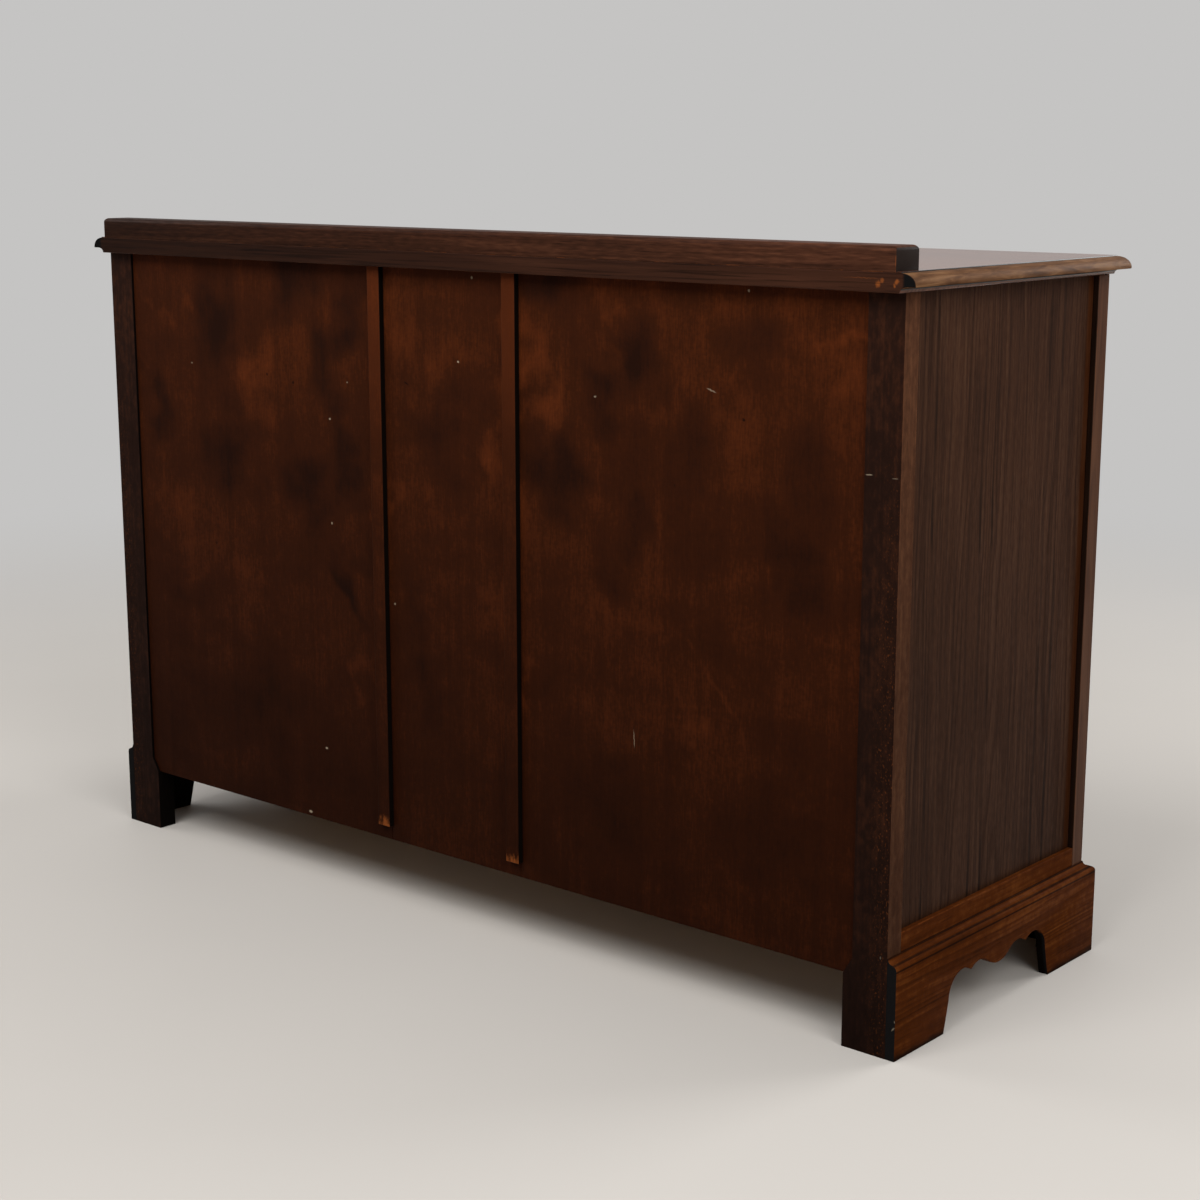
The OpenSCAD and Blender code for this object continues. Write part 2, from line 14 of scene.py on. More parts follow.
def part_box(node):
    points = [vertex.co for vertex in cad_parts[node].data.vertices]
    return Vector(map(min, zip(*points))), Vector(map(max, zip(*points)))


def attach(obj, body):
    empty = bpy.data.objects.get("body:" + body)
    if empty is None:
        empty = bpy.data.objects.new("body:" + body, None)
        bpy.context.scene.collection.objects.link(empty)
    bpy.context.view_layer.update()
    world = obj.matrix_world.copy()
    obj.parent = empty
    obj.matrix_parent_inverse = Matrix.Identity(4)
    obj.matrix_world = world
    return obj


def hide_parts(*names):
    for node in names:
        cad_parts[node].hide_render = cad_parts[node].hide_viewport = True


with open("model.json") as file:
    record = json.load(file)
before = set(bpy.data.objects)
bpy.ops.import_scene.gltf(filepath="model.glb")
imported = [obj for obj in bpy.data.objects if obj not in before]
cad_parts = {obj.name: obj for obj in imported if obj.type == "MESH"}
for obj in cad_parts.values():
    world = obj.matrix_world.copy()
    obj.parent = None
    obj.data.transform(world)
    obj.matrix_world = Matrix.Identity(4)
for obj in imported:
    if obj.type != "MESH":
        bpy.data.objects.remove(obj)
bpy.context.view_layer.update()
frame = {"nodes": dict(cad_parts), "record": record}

bl_info = {
    "name": "Oak sideboard",
    "version": (1, 0, 0),
    "blender": (4, 5, 0),
    "location": "3D View > Sidebar > Sideboard",
    "description": "Wood finishes, wear, screws and joints of an oak sideboard over its frame",
    "category": "Object",
}

RECORD = frame["record"]
# Body of each node, and the place of each joint that turns
BODY_OF = {node: body for body, nodes in RECORD["behaviour"]["bodies"].items() for node in nodes}
PINS = {joint["name"]: joint.get("pos_m") for joint in RECORD["behaviour"]["joints"]}

SIDES = ("left", "right")

# Height of a hinge, gap between its closed leaves, and distances from the end and from the free
# edge of a leaf to its screws
HINGE_HEIGHT = 0.05
LEAF_GAP = 0.0004
SCREW_END = 0.008
SCREW_EDGE = 0.0075
# Screws in a leaf, sides of a screw's head, length and width of its slot in radii, and height of
# the slot's middle in thicknesses
SCREWS = 3
SCREW_SIDES = 20
SLOT_LENGTH = 3.0
SLOT_WIDTH = 0.28
SLOT_RISE = 0.45
# Spacing of dovetails in tail widths, least number in a row, and how much wider they are in front
TAIL_SPACING = 3.2
LEAST_TAILS = 3
TAIL_FLARE = 0.35
# Distance from the middle beyond which posts and end panels show their outsides
OUTSIDE = 0.58
# Width of the upright members of a door
DOOR_STILE = 0.055
# Angle above which an edge counts as an arris, angle below which faces are one plane, and distance
# within which corners are one
ARRIS_ANGLE = math.radians(28)
FLAT_ANGLE = math.radians(0.6)
MERGE = 2e-6
# Distance from the ends and front of the top board to the groove inside its nosing, half width of
# that groove, and half width of the joints in a door frame
NOSING_IN = 0.0162
GROOVE = 0.0012
JOINT_LINE = 0.0004
# Heights between which painted shade darkens the feet at the floor, the tips of battens are bare
# and their faces paler, and worn flecks appear on posts
FOOT_DARK = (0.014, 0.008)
TIP_BARE = (0.132, 0.12)
BATTEN_PALE = (0.5, 0.72)
POST_WORN = (0.75, 0.3)
# Values of a noise between which wear begins to show on the arrises
CHIPS = (0.52, 0.62)
# Grain of frame members
FRAME_GRAIN = {"fine": 0.7, "broad": 0.25, "line": 0.2}
# Depth of the relief of a grain, height below which painted shade darkens wood towards the floor,
# and heights between which painted shade darkens the back
RELIEF = 0.0004
SHADED_BELOW = 0.8
BACK_LOW = 0.08
BACK_HIGH = 0.78
# Cuts in the back face of a sheet, half width of a wiped arc, edge and core of a cloud in half
# widths, shares of light and dark clouds, and share of the stain in the tone of a sheet
STAIN_CUTS = 140
ARC_WIDTH = 0.008
CLOUD_EDGE = 1.35
CLOUD_CORE = 0.1
LIGHT_SHARE = 0.65
DARK_SHARE = 1.1
STAIN_SHARE = 0.6
# Scale and reach of the noises that roughen the outlines of stains, scale and share of the noise
# that breaks up their strength, and the seed without which they would differ from run to run
STAIN_RAGGED = ((6.0, 0.06), (17.0, 0.04), (55.0, 0.012))
STAIN_PATCHES = 30.0
PATCH_SHARE = 0.5
STAIN_SEED = 1158
# Long dark lines of the end panels (places along Y), how far they wander and how wide they are,
# and the width of the redder strip beside the front post
PANEL_LINES = (0.137, 0.046, 0.022, -0.083, -0.11)
PANEL_WANDER = 0.016
PANEL_LINE = 0.002
PANEL_MARGIN = 0.01
# Half depth of the ellipses that mark stains, so large that it plays no part
THROUGH = 30.0
# Radius of the floor, lightness of its darker patches, and distances between which it fades into
# the background
FLOOR_RADIUS = 14.0
FLOOR_DARKER = 0.97
FADE_START = 1.1
FADE_END = 3.2
# Place, turn in degrees and focal length of the camera
CAMERA_PLACE = (-1.729, 1.954, 0.908)
CAMERA_TURN = (78.13, 0.0, 220.67)
FOCAL_LENGTH = 64.9

# Stains, wear and one painted sheen on the back, as (x, z, half width, half height, tilt in
# degrees, strength)
DARK_CLOUDS = (
    (-0.28, 0.58, 0.06, 0.045, 10, 0.3),
    (0.4, 0.69, 0.05, 0.08, 10, 0.7), (0.265, 0.745, 0.055, 0.045, 0, 0.6),
    (0.165, 0.7, 0.035, 0.11, 0, 0.65), (0.375, 0.525, 0.05, 0.06, -20, 0.5),
    (0.25, 0.505, 0.06, 0.04, 15, 0.5), (0.175, 0.56, 0.03, 0.07, 0, 0.55),
    (0.535, 0.6, 0.03, 0.07, 0, 0.5), (0.16, 0.41, 0.014, 0.06, 0, 0.6),
    (0.34, 0.22, 0.11, 0.06, 5, 0.3), (0.48, 0.32, 0.06, 0.03, 0, 0.3),
    (0.02, 0.56, 0.04, 0.1, 0, 0.35), (0.06, 0.33, 0.03, 0.11, 0, 0.3),
    (-0.165, 0.765, 0.055, 0.035, 0, 0.75), (-0.272, 0.69, 0.035, 0.06, 15, 0.75),
    (-0.25, 0.635, 0.03, 0.04, 0, 0.6), (-0.175, 0.55, 0.04, 0.05, -10, 0.5),
    (-0.268, 0.535, 0.035, 0.04, 0, 0.5), (-0.33, 0.595, 0.07, 0.05, 20, 0.35),
    (-0.435, 0.73, 0.06, 0.035, -10, 0.45), (-0.51, 0.58, 0.04, 0.06, 0, 0.4),
    (-0.485, 0.51, 0.035, 0.05, 0, 0.4), (-0.235, 0.465, 0.04, 0.07, 0, 0.35),
    (-0.46, 0.2, 0.09, 0.06, 0, 0.3), (-0.23, 0.2, 0.06, 0.08, 0, 0.25))
LIGHT_CLOUDS = (
    (-0.085, 0.27, 0.03, 0.11, 0, 0.3),
    # Next line, first cloud: lighter stain and painted sheen on the upper part of the left sheet
    (-0.37, 0.7, 0.26, 0.15, 0, 0.4), (-0.02, 0.72, 0.11, 0.12, 0, 0.15),
    (0.45, 0.735, 0.018, 0.038, 25, 0.6), (0.375, 0.355, 0.04, 0.05, 20, 0.35),
    (0.14, 0.5, 0.008, 0.05, 0, 0.4), (0.14, 0.3, 0.008, 0.06, 0, 0.4),
    (0.33, 0.64, 0.03, 0.05, -15, 0.35), (0.51, 0.48, 0.04, 0.07, 10, 0.3),
    (0.08, 0.735, 0.05, 0.05, 0, 0.4), (-0.1, 0.61, 0.03, 0.19, 0, 0.65),
    (-0.09, 0.4, 0.014, 0.1, 0, 0.3), (0.03, 0.68, 0.03, 0.06, -20, 0.3),
    (-0.248, 0.763, 0.024, 0.034, 0, 0.6), (-0.225, 0.715, 0.016, 0.04, 20, 0.5),
    (-0.158, 0.625, 0.02, 0.05, 0, 0.5), (-0.36, 0.715, 0.045, 0.04, 0, 0.35),
    (-0.4, 0.64, 0.04, 0.05, 30, 0.3), (-0.545, 0.69, 0.01, 0.07, 3, 0.6),
    (-0.53, 0.64, 0.012, 0.08, 5, 0.4), (-0.33, 0.44, 0.06, 0.06, 0, 0.25),
    (-0.45, 0.4, 0.05, 0.07, 25, 0.25), (-0.126, 0.334, 0.01, 0.03, 0, 0.6))
# Wiped arcs, as (x, z, radius, ellipse inside which the arc shows, strength)
WIPED_ARCS = (
    (-0.33, 0.52, 0.2, (-0.43, 0.68, 0.08, 0.06, 0), 0.3),
    (-0.33, 0.52, 0.215, (-0.47, 0.67, 0.08, 0.07, 0), 0.2),
    (-0.27, 0.56, 0.31, (-0.5, 0.72, 0.07, 0.11, 0), 0.2),
    (-0.62, 0.64, 0.23, (-0.45, 0.48, 0.08, 0.09, 0), 0.2),
    (-0.64, 0.5, 0.31, (-0.38, 0.33, 0.08, 0.1, 0), 0.25),
    (-0.65, 0.49, 0.36, (-0.36, 0.26, 0.08, 0.12, 0), 0.22),
    (0.64, 0.64, 0.13, (0.545, 0.715, 0.04, 0.04, 0), 0.35),
    (0.64, 0.6, 0.11, (0.55, 0.66, 0.04, 0.04, 0), 0.3))
PALE_SPECKS = (
    (0.168, 0.633, 0.0018, 0.0016, 0, 0.21), (0.2, 0.587, 0.0022, 0.0016, 0, 0.36),
    (0.201, 0.46, 0.0018, 0.0018, 0, 0.3), (0.456, 0.638, 0.002, 0.0016, 0, 0.24),
    (-0.016, 0.669, 0.0022, 0.0018, 0, 0.42), (-0.039, 0.764, 0.0018, 0.0022, 0, 0.36),
    (0.094, 0.375, 0.002, 0.0018, 0, 0.3), (-0.423, 0.766, 0.0018, 0.002, 0, 0.36),
    (-0.22, 0.645, 0.002, 0.0016, 0, 0.3), (0.254, 0.085, 0.004, 0.0024, 0, 0.42),
    (0.221, 0.174, 0.003, 0.002, 0, 0.36), (-0.377, 0.663, 0.008, 0.0011, -18, 0.24),
    (-0.276, 0.276, 0.0009, 0.012, 4, 0.18))
DARK_SPECKS = (
    (0.264, 0.626, 0.0024, 0.0024, 0, 0.8), (0.312, 0.633, 0.0022, 0.0022, 0, 0.7),
    (-0.419, 0.636, 0.0022, 0.0022, 0, 0.8), (0.068, 0.639, 0.005, 0.0014, -25, 0.8),
    (-0.33, 0.56, 0.0018, 0.0018, 0, 0.5), (0.42, 0.41, 0.002, 0.002, 0, 0.5))
POST_NICKS = (
    (-0.5735, 0.5955, 0.005, 0.0008, 3, 0.39), (-0.6035, 0.5945, 0.0045, 0.0006, 3, 0.2),
    (-0.602, 0.107, 0.001, 0.002, 0, 0.25))
END_NICKS = ((-0.6208, 0.043, 0.0008, 0.0014, 0, 0.25), (-0.6192, 0.035, 0.001, 0.0034, -35, 0.22))
# Dark lines in the moulding of the plinth and above it, as (height, half width): the joint under
# the rail, and painted shade in the quirks
PLINTH_QUIRKS = ((0.1075, 0.0011), (0.1015, 0.0006), (0.0955, 0.001))
TOP_EDGE_SPOTS = (
    (-0.586, 0.78, 0.0046, 0.0042, 20, 0.9), (-0.5905, 0.783, 0.003, 0.0034, 0, 0.7),
    (-0.607, 0.7825, 0.003, 0.0036, -20, 0.9), (-0.6045, 0.779, 0.0022, 0.0026, 0, 0.8),
    (-0.566, 0.785, 0.03, 0.0006, 0, 0.4))


def tone(red, green, blue):
    """A colour given by its three values on the 0 to 255 scale of a picture."""
    return (red / 255, green / 255, blue / 255)


def linear(colour):
    """The light values of a picture colour, with full opacity."""
    values = [c / 12.92 if c <= 0.04045 else ((c + 0.055) / 1.055) ** 2.4 for c in colour]
    return (*values, 1.0)


def colour_property(name, description, default):
    """A colour that a user can change, in the values of a picture."""
    return bpy.props.FloatVectorProperty(
        name=name, description=description, default=default,
        subtype="COLOR_GAMMA", size=3, min=0.0, max=1.0)


def length_property(name, description, default):
    """A length in metres that a user can change."""
    return bpy.props.FloatProperty(
        name=name, description=description, default=default,
        subtype="DISTANCE", unit="LENGTH", min=0.0, precision=4)


class SideboardSizes(bpy.types.PropertyGroup):
    """Sizes of the fine detail."""

    arris: length_property("Arris", "Rounding of the edges of frame members and boards", 0.0009)
    arris_soft: length_property(
        "Soft arris", "Rounding of edges that hands and cloths have worn", 0.0016)
    arris_fine: length_property(
        "Fine arris", "Rounding of the edges of thin sheets and fittings", 0.0003)
    screw_radius: length_property("Screw head radius", "Radius of a hinge screw's head", 0.0026)
    screw_height: length_property(
        "Screw head height", "Thickness of a hinge screw's head, half of it proud", 0.0003)
    tail_length: length_property(
        "Tail length", "Length of the dovetails in the edge of a drawer front", 0.012)
    tail_width: length_property(
        "Tail width", "Width of a dovetail where it leaves the drawer side", 0.011)
    tail_relief: length_property("Tail relief", "Height by which a dovetail stands proud", 0.00015)


# Palettes as (label, where it is, deep, middle and light tone)
PALETTES = {
    "sheet": ("Sheet", "the back sheets", (33, 15, 8), (54, 24, 10), (93, 43, 19)),
    "post": ("Post", "the rear posts and knobs", (22, 12, 8), (36, 20, 14), (66, 36, 22)),
    "panel": ("Panel", "the panels", (34, 19, 12), (60, 37, 24), (88, 60, 43)),
    "frame": ("Frame", "the frame members", (46, 25, 15), (76, 46, 29), (104, 68, 44)),
    "plinth": ("Plinth", "the plinth and end rails", (38, 17, 6), (67, 31, 9), (106, 60, 25)),
    "top": ("Top", "the top", (58, 30, 20), (96, 56, 38), (126, 82, 58)),
    "nosing": ("Nosing", "the worn nosing", (50, 30, 18), (90, 61, 39), (126, 93, 64)),
    "upstand": ("Back rail", "the rail on the top", (30, 18, 14), (66, 39, 27), (98, 60, 42)),
    "raw": ("Raw wood", "the unfinished wood", (120, 88, 58), (176, 142, 102), (206, 178, 138)),
}
TONES = {"deep": "Darkest", "mid": "Middle", "light": "Lightest"}


class SideboardColours(bpy.types.PropertyGroup):
    """Colours of the finishes, to which the palettes are added below."""

    end_grain: colour_property("End grain", "Grey-brown of the ends of boards", tone(40, 33, 30))
    end_dark: colour_property("Dark end grain", "Blue-black of the ends of the plinth", tone(19, 18, 18))
    # Painted shade in recesses, quirks, at the floor and on batten sides; also dark joints and lines
    shade: colour_property("Shade", "Near-black stain in corners and on batten sides", tone(13, 8, 6))
    worn: colour_property("Worn wood", "Wood that shows where the stain has worn off", tone(150, 82, 38))
    chip: colour_property("Chip", "Bare wood in fresh chips and scratches", tone(196, 178, 152))
    brass_dull: colour_property("Brass, dull", "Tarnished brass", tone(96, 74, 42))
    brass_clean: colour_property("Brass, clean", "Rubbed brass", tone(178, 146, 88))
    floor: colour_property("Floor", "Plain floor", tone(188, 183, 177))
    background: colour_property("Background", "What is seen beyond the floor", tone(197, 196, 195))


for palette, (label, where, *palette_tones) in PALETTES.items():
    for (step, rank), values in zip(TONES.items(), palette_tones):
        SideboardColours.__annotations__[f"{palette}_{step}"] = colour_property(
            f"{label}, {rank.lower()}", f"{rank} tone of {where}", tone(*values))


def feed(tree, node, values):
    """Sets or links the inputs of a node, given by name or by number."""
    for key, value in values.items():
        if isinstance(value, bpy.types.NodeSocket):
            tree.links.new(value, node.inputs[key])
        else:
            node.inputs[key].default_value = value


def add_node(tree, kind, inputs=None, **settings):
    """Adds a node to a tree, sets its options and then its inputs."""
    node = tree.nodes.new(kind)
    for key, value in settings.items():
        setattr(node, key, value)
    feed(tree, node, inputs or {})
    return node


def result(tree, kind, inputs=None, **settings):
    """Adds a node in the same way and returns its first output."""
    return add_node(tree, kind, inputs, **settings).outputs[0]


def calculated(tree, operation, *values):
    """Output of a Math node."""
    return result(tree, "ShaderNodeMath", dict(enumerate(values)), operation=operation)


class Painter:
    """Builds the nodes of one material. Most methods return the output of the node they add."""

    def __init__(self, name, roughness, specular):
        self.material = bpy.data.materials.new(name)
        self.material.use_nodes = True
        self.tree = self.material.node_tree
        self.shader = self.tree.nodes["Principled BSDF"]
        self.set(Roughness=roughness, Specular_IOR_Level=specular)
        coordinates = self.tree.nodes.new("ShaderNodeTexCoord").outputs
        self.place = coordinates["Object"]
        self.normal = coordinates["Normal"]

    def add(self, kind, inputs=None, **settings):
        return result(self.tree, kind, inputs, **settings)

    def set(self, **values):
        """Sets or links inputs of the shader."""
        feed(self.tree, self.shader, {key.replace("_", " "): value for key, value in values.items()})

    def math(self, operation, *values):
        return calculated(self.tree, operation, *values)

    def times(self, first, second):
        return self.math("MULTIPLY", first, second)

    def minus(self, first, second):
        return self.math("SUBTRACT", first, second)

    def times_plus(self, first, second, third):
        return self.math("MULTIPLY_ADD", first, second, third)

    def larger(self, first, second):
        return self.math("MAXIMUM", first, second)

    def vector_math(self, operation, *values, output="Vector"):
        node = add_node(self.tree, "ShaderNodeVectorMath", dict(enumerate(values)), operation=operation)
        return node.outputs[output]

    def mapped(self, where=None, location=(0, 0, 0), turn=(0, 0, 0), scale=(1, 1, 1), kind="POINT"):
        return self.add("ShaderNodeMapping", {
            "Vector": where or self.place, "Location": location, "Rotation": turn, "Scale": scale},
            vector_type=kind)

    def noise(self, where, scale=1.0, detail=2.0, roughness=0.5, distortion=0.0):
        return self.add("ShaderNodeTexNoise", {
            "Vector": where, "Scale": scale, "Detail": detail, "Roughness": roughness,
            "Distortion": distortion})

    def pattern(self, scale, turn=(0, 0, 0), where=None, **shape):
        """A noise with its own scale along each axis."""
        return self.noise(self.mapped(where, turn=turn, scale=scale), **shape)

    def span(self, value, low, high, to_low=0.0, to_high=1.0, smooth=True):
        """Maps low..high onto to_low..to_high and holds the ends."""
        return self.add("ShaderNodeMapRange", {
            "Value": value, "From Min": low, "From Max": high, "To Min": to_low, "To Max": to_high},
            interpolation_type="SMOOTHSTEP" if smooth else "LINEAR")

    def mix(self, share, first, second, blend="MIX"):
        node = add_node(self.tree, "ShaderNodeMix", {}, data_type="RGBA", blend_type=blend)
        feed(self.tree, node, {0: share, 6: first, 7: second})
        return node.outputs[2]

    def lay(self, share, colour, name):
        """Lays one of the single colours over a colour."""
        return self.mix(share, colour, one_colour(name))

    def dim(self, colour, level):
        """Multiplies a colour by a value."""
        grey = self.add("ShaderNodeCombineColor", {0: level, 1: level, 2: level})
        return self.mix(1.0, colour, grey, "MULTIPLY")

    def ramp(self, value, colours):
        """Colours spread evenly over the values 0 to 1."""
        node = add_node(self.tree, "ShaderNodeValToRGB", {"Fac": value})
        stops = node.color_ramp.elements
        while len(stops) < len(colours):
            stops.new(0.5)
        for index, colour in enumerate(colours):
            stops[index].position = index / (len(colours) - 1)
            stops[index].color = colour
        return node.outputs["Color"]

    def part(self, vector, name):
        """One of the three values of a vector."""
        return add_node(self.tree, "ShaderNodeSeparateXYZ", {0: vector}).outputs[name]

    def axis(self, name):
        """One coordinate of the object's own space."""
        return self.part(self.place, name)

    def aside(self):
        """Distance from the plane that halves the sideboard between its ends."""
        return self.math("ABSOLUTE", self.axis("X"))

    def facing(self, name, low=0.6, high=0.8):
        """1 where the surface faces along one axis of the object's own space, either way."""
        return self.span(self.math("ABSOLUTE", self.part(self.normal, name)), low, high)

    def rearward(self):
        """1 where the surface faces the back."""
        return self.span(self.part(self.normal, "Y"), 0.6, 0.8)

    def inward(self):
        """1 where an upright face looks towards the middle of the sideboard."""
        across = self.vector_math("MULTIPLY", self.place, (1.0, 1.0, 0.0))
        outward = self.vector_math("NORMALIZE", across)
        turned = self.vector_math("DOT_PRODUCT", self.normal, outward, output="Value")
        return self.span(turned, -0.03, -0.1)

    def line(self, value, middle, half):
        """1 where a value lies within half of the middle, with soft limits."""
        off = self.math("ABSOLUTE", self.minus(value, middle))
        return self.span(off, half * 1.4, half * 0.6)

    def warped(self, scale, amount):
        """The place with its coordinates pushed about by a noise, for ragged edges."""
        texture = add_node(self.tree, "ShaderNodeTexNoise", {
            "Vector": self.place, "Scale": scale, "Detail": 3.0})
        centred = self.vector_math("SUBTRACT", texture.outputs["Color"], (0.5, 0.5, 0.5))
        return self.vector_math("MULTIPLY_ADD", centred, (amount, amount, amount), self.place)

    def spots(self, where, marks, core=0.5):
        """The strongest of several upright soft ellipses on a back face, each 0 at its edge."""
        total = 0.0
        for x, z, half_width, half_height, tilt, strength in marks:
            placed = self.mapped(where, (x, 0.0, z), (0.0, math.radians(tilt), 0.0),
                                 (half_width, THROUGH, half_height), "TEXTURE")
            mark = self.span(self.vector_math("LENGTH", placed, output="Value"), 1.0, core)
            total = self.larger(total, self.times(mark, strength))
        return total

    def layer(self, name):
        """A value that the piece's mesh carries."""
        return add_node(self.tree, "ShaderNodeAttribute", attribute_name=name).outputs["Fac"]

    def bump(self, height, strength, distance=RELIEF):
        self.set(Normal=self.add("ShaderNodeBump", {
            "Height": height, "Strength": strength, "Distance": distance}))

    def finish(self, colour, roughness=None):
        self.set(Base_Color=colour)
        if roughness is not None:
            self.set(Roughness=roughness)
        return self.material


def stretched(along, across, lengthwise):
    """Scale of a pattern with so many cycles a metre across the grain and along it."""
    return tuple(lengthwise if axis == along else across for axis in "XYZ")


def offset(paint, pattern, weight, base):
    """Adds a pattern that swings about 0.5 to a tone, with this weight."""
    return paint.times_plus(paint.minus(pattern, 0.5), weight, base)


def grain(paint, along, fine=0.8, broad=0.4, line=0.35, cloud=0.5, seed=0.0):
    """Tone of sawn oak, about 0.5, and the mask of its open pores."""
    start = (seed, seed * 1.7, seed * 0.6)

    def streaks(across, lengthwise, detail):
        return paint.noise(paint.mapped(location=start, scale=stretched(along, across, lengthwise)),
                           detail=detail)

    rings = streaks(15, 0.7, 1)
    ring = paint.math("FRACT", paint.times(rings, 19.0))
    edge = paint.minus(paint.span(ring, 0.0, 0.5), paint.span(ring, 0.86, 1.0))
    strength = paint.span(streaks(30, 0.6, 1), 0.35, 0.7, 0.25, 1.0)
    value = offset(paint, streaks(270, 4.5, 3), fine, 0.5)
    value = offset(paint, streaks(64, 1.2, 2), broad, value)
    value = paint.times_plus(paint.minus(edge, 0.8), paint.times(strength, line), value)
    value = offset(paint, paint.noise(paint.mapped(location=start), scale=5.0), cloud, value)
    dashes = streaks(800, 34, 1)
    pores = paint.times(paint.span(dashes, 0.56, 0.7), paint.span(edge, 0.9, 0.3, 0.3, 1.0))
    return value, pores


def one_colour(name):
    return linear(getattr(bpy.context.scene.sideboard_colours, name))


def colours(name):
    """Deep, middle and light colour of a palette."""
    return [one_colour(f"{name}_{step}") for step in TONES]


def once(make):
    """Makes a material for given arguments only the first time."""
    made = {}

    def fetch(*args):
        if args not in made:
            made[args] = make(*args)
        return made[args]

    return fetch


class Oak(Painter):
    """Stained oak whose grain runs along one axis, in waves of a given reach or straight."""

    def __init__(self, name, along, roughness, specular, wave=0.0, **pattern):
        super().__init__(f"{name}_along_{along.lower()}", roughness, specular)
        straight = self.place
        self.place = self.wavy = self.warped(5.0, wave) if wave else straight
        self.value, self.pores = grain(self, along, **pattern)
        self.place = straight

    def stain(self, palette, pore=0.5):
        """Colour of a palette over the grain."""
        tones = colours(palette)
        colour = self.ramp(self.value, tones)
        return self.mix(self.times(self.pores, pore), colour, tones[0])

    def rub(self, colour, amount=0.3):
        """Lets worn wood show in spots along the arrises."""
        chips = self.noise(self.mapped(), scale=70.0, detail=3)
        spots = self.times(self.layer("arris"), self.span(chips, *CHIPS, 0.0, amount))
        return self.lay(spots, colour, "worn")

    def vary(self, weight, scale, **shape):
        """Adds a pattern to the tone of the grain, with this weight."""
        self.value = offset(self, self.pattern(scale, **shape), weight, self.value)

    def shade_towards_floor(self, colour, least=0.72):
        """Painted shade: darkens a colour towards the floor."""
        return self.dim(colour, self.span(self.axis("Z"), 0.0, SHADED_BELOW, least, 1.0, smooth=False))

    def complete(self, colour, rough_low=0.5, rough_high=0.36):
        """Ends a material whose roughness goes from the one to the other as the grain gets lighter."""
        self.bump(self.minus(self.value, self.pores), 0.2)
        return self.finish(colour, self.span(self.value, 0.2, 0.8, rough_low, rough_high))


@once
def frame_oak(along):
    """Satin brown oak of stiles, rails and drawer fronts."""
    wood = Oak("frame_oak", along, 0.42, 0.06, **FRAME_GRAIN)
    return wood.complete(wood.shade_towards_floor(wood.rub(wood.stain("frame"))))


@once
def door_frame_oak():
    """Frame oak of the doors, whose cross members have their grain along X."""
    wood = Oak("door_frame_oak", "Z", 0.42, 0.06, **FRAME_GRAIN)
    upright = wood.stain("frame")
    low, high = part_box("door_right_frame")
    off = wood.math("ABSOLUTE", wood.minus(wood.aside(), (low.x + high.x) / 2))
    half = (high.x - low.x) / 2 - DOOR_STILE
    wood.value, wood.pores = grain(wood, "X", seed=3.0, **FRAME_GRAIN)
    colour = wood.mix(wood.span(off, half + 0.0002, half - 0.0002), upright, wood.stain("frame"))
    joint = wood.times(wood.line(off, half, JOINT_LINE), 0.7)
    colour = wood.lay(joint, wood.rub(colour), "shade")
    return wood.complete(wood.shade_towards_floor(colour))


@once
def rear_post_oak(along):
    """Dark mottled stain on the back of the rear posts, frame colour on their outer sides."""
    wood = Oak("rear_post_oak", along, 0.5, 0.02, fine=0.5, broad=0.1, line=0.0, cloud=1.0)
    wood.vary(0.9, (170, 170, 90), detail=3, roughness=0.6)
    back = wood.stain("post", 0.2)
    flecks = wood.pattern((750, 750, 330))
    outer = wood.span(wood.aside(), OUTSIDE, 0.6)
    low = wood.span(wood.axis("Z"), *POST_WORN)
    share = wood.times(wood.times(outer, low), wood.span(flecks, 0.6, 0.7, 0.0, 0.3))
    back = wood.lay(share, back, "worn")
    colour = wood.mix(wood.facing("X"), back, wood.stain("frame"))
    # Painted shade on the faces turned towards the inside
    colour = wood.lay(wood.inward(), wood.rub(colour, 0.12), "shade")
    colour = wood.lay(wood.spots(wood.place, POST_NICKS), colour, "chip")
    return wood.complete(wood.shade_towards_floor(colour, 0.46), 0.6, 0.45)


@once
def front_post_oak(along):
    """Frame oak of the front posts, with nearly black painted shade in the step beside the end panel."""
    wood = Oak("front_post_oak", along, 0.42, 0.06, **FRAME_GRAIN)
    # Painted shade in the step beside the end panel
    step = wood.times(wood.rearward(), 0.85)
    colour = wood.lay(step, wood.rub(wood.stain("frame"), 0.15), "shade")
    return wood.complete(wood.shade_towards_floor(colour))


@once
def dark_oak(along):
    """Dark stained oak of knobs."""
    wood = Oak("dark_oak", along, 0.4, 0.15)
    return wood.complete(wood.rub(wood.stain("post")))


@once
def panel_oak(along):
    """Grey-brown oak of the panels, with dark straight lines and a redder front margin."""
    wood = Oak("panel_oak", along, 0.42, 0.02, wave=0.012, fine=0.55, broad=0.2, line=0.27, cloud=0.35)
    ribs = wood.pattern((210, 210, 4.0), where=wood.wavy, detail=3, roughness=0.6)
    wood.vary(0.5, (330, 330, 90))
    deep = colours("panel")[0]
    colour = wood.mix(wood.span(ribs, 0.52, 0.36, 0.0, 0.45), wood.stain("panel", 0.5), deep)
    wander = wood.pattern((1.0, 1.0, 5.0))
    along_end = wood.times_plus(wood.minus(wander, 0.5), PANEL_WANDER, wood.axis("Y"))
    lines = 0.0
    for middle in PANEL_LINES:
        lines = wood.larger(lines, wood.line(along_end, middle, PANEL_LINE))
    broken = wood.span(wood.pattern((4.0, 4.0, 7.0), detail=1), 0.42, 0.58, 0.12, 0.6)
    colour = wood.lay(wood.times(lines, broken), colour, "shade")
    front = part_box("post_front_left")[1].y + PANEL_MARGIN
    margin = wood.span(wood.times_plus(wander, 0.004, wood.axis("Y")), front + 0.004, front)
    ends = wood.span(wood.aside(), OUTSIDE, 0.59)
    redder = wood.times(wood.times(margin, ends), 0.55)
    colour = wood.mix(redder, colour, colours("plinth")[1])
    return wood.complete(wood.shade_towards_floor(colour, 0.56))


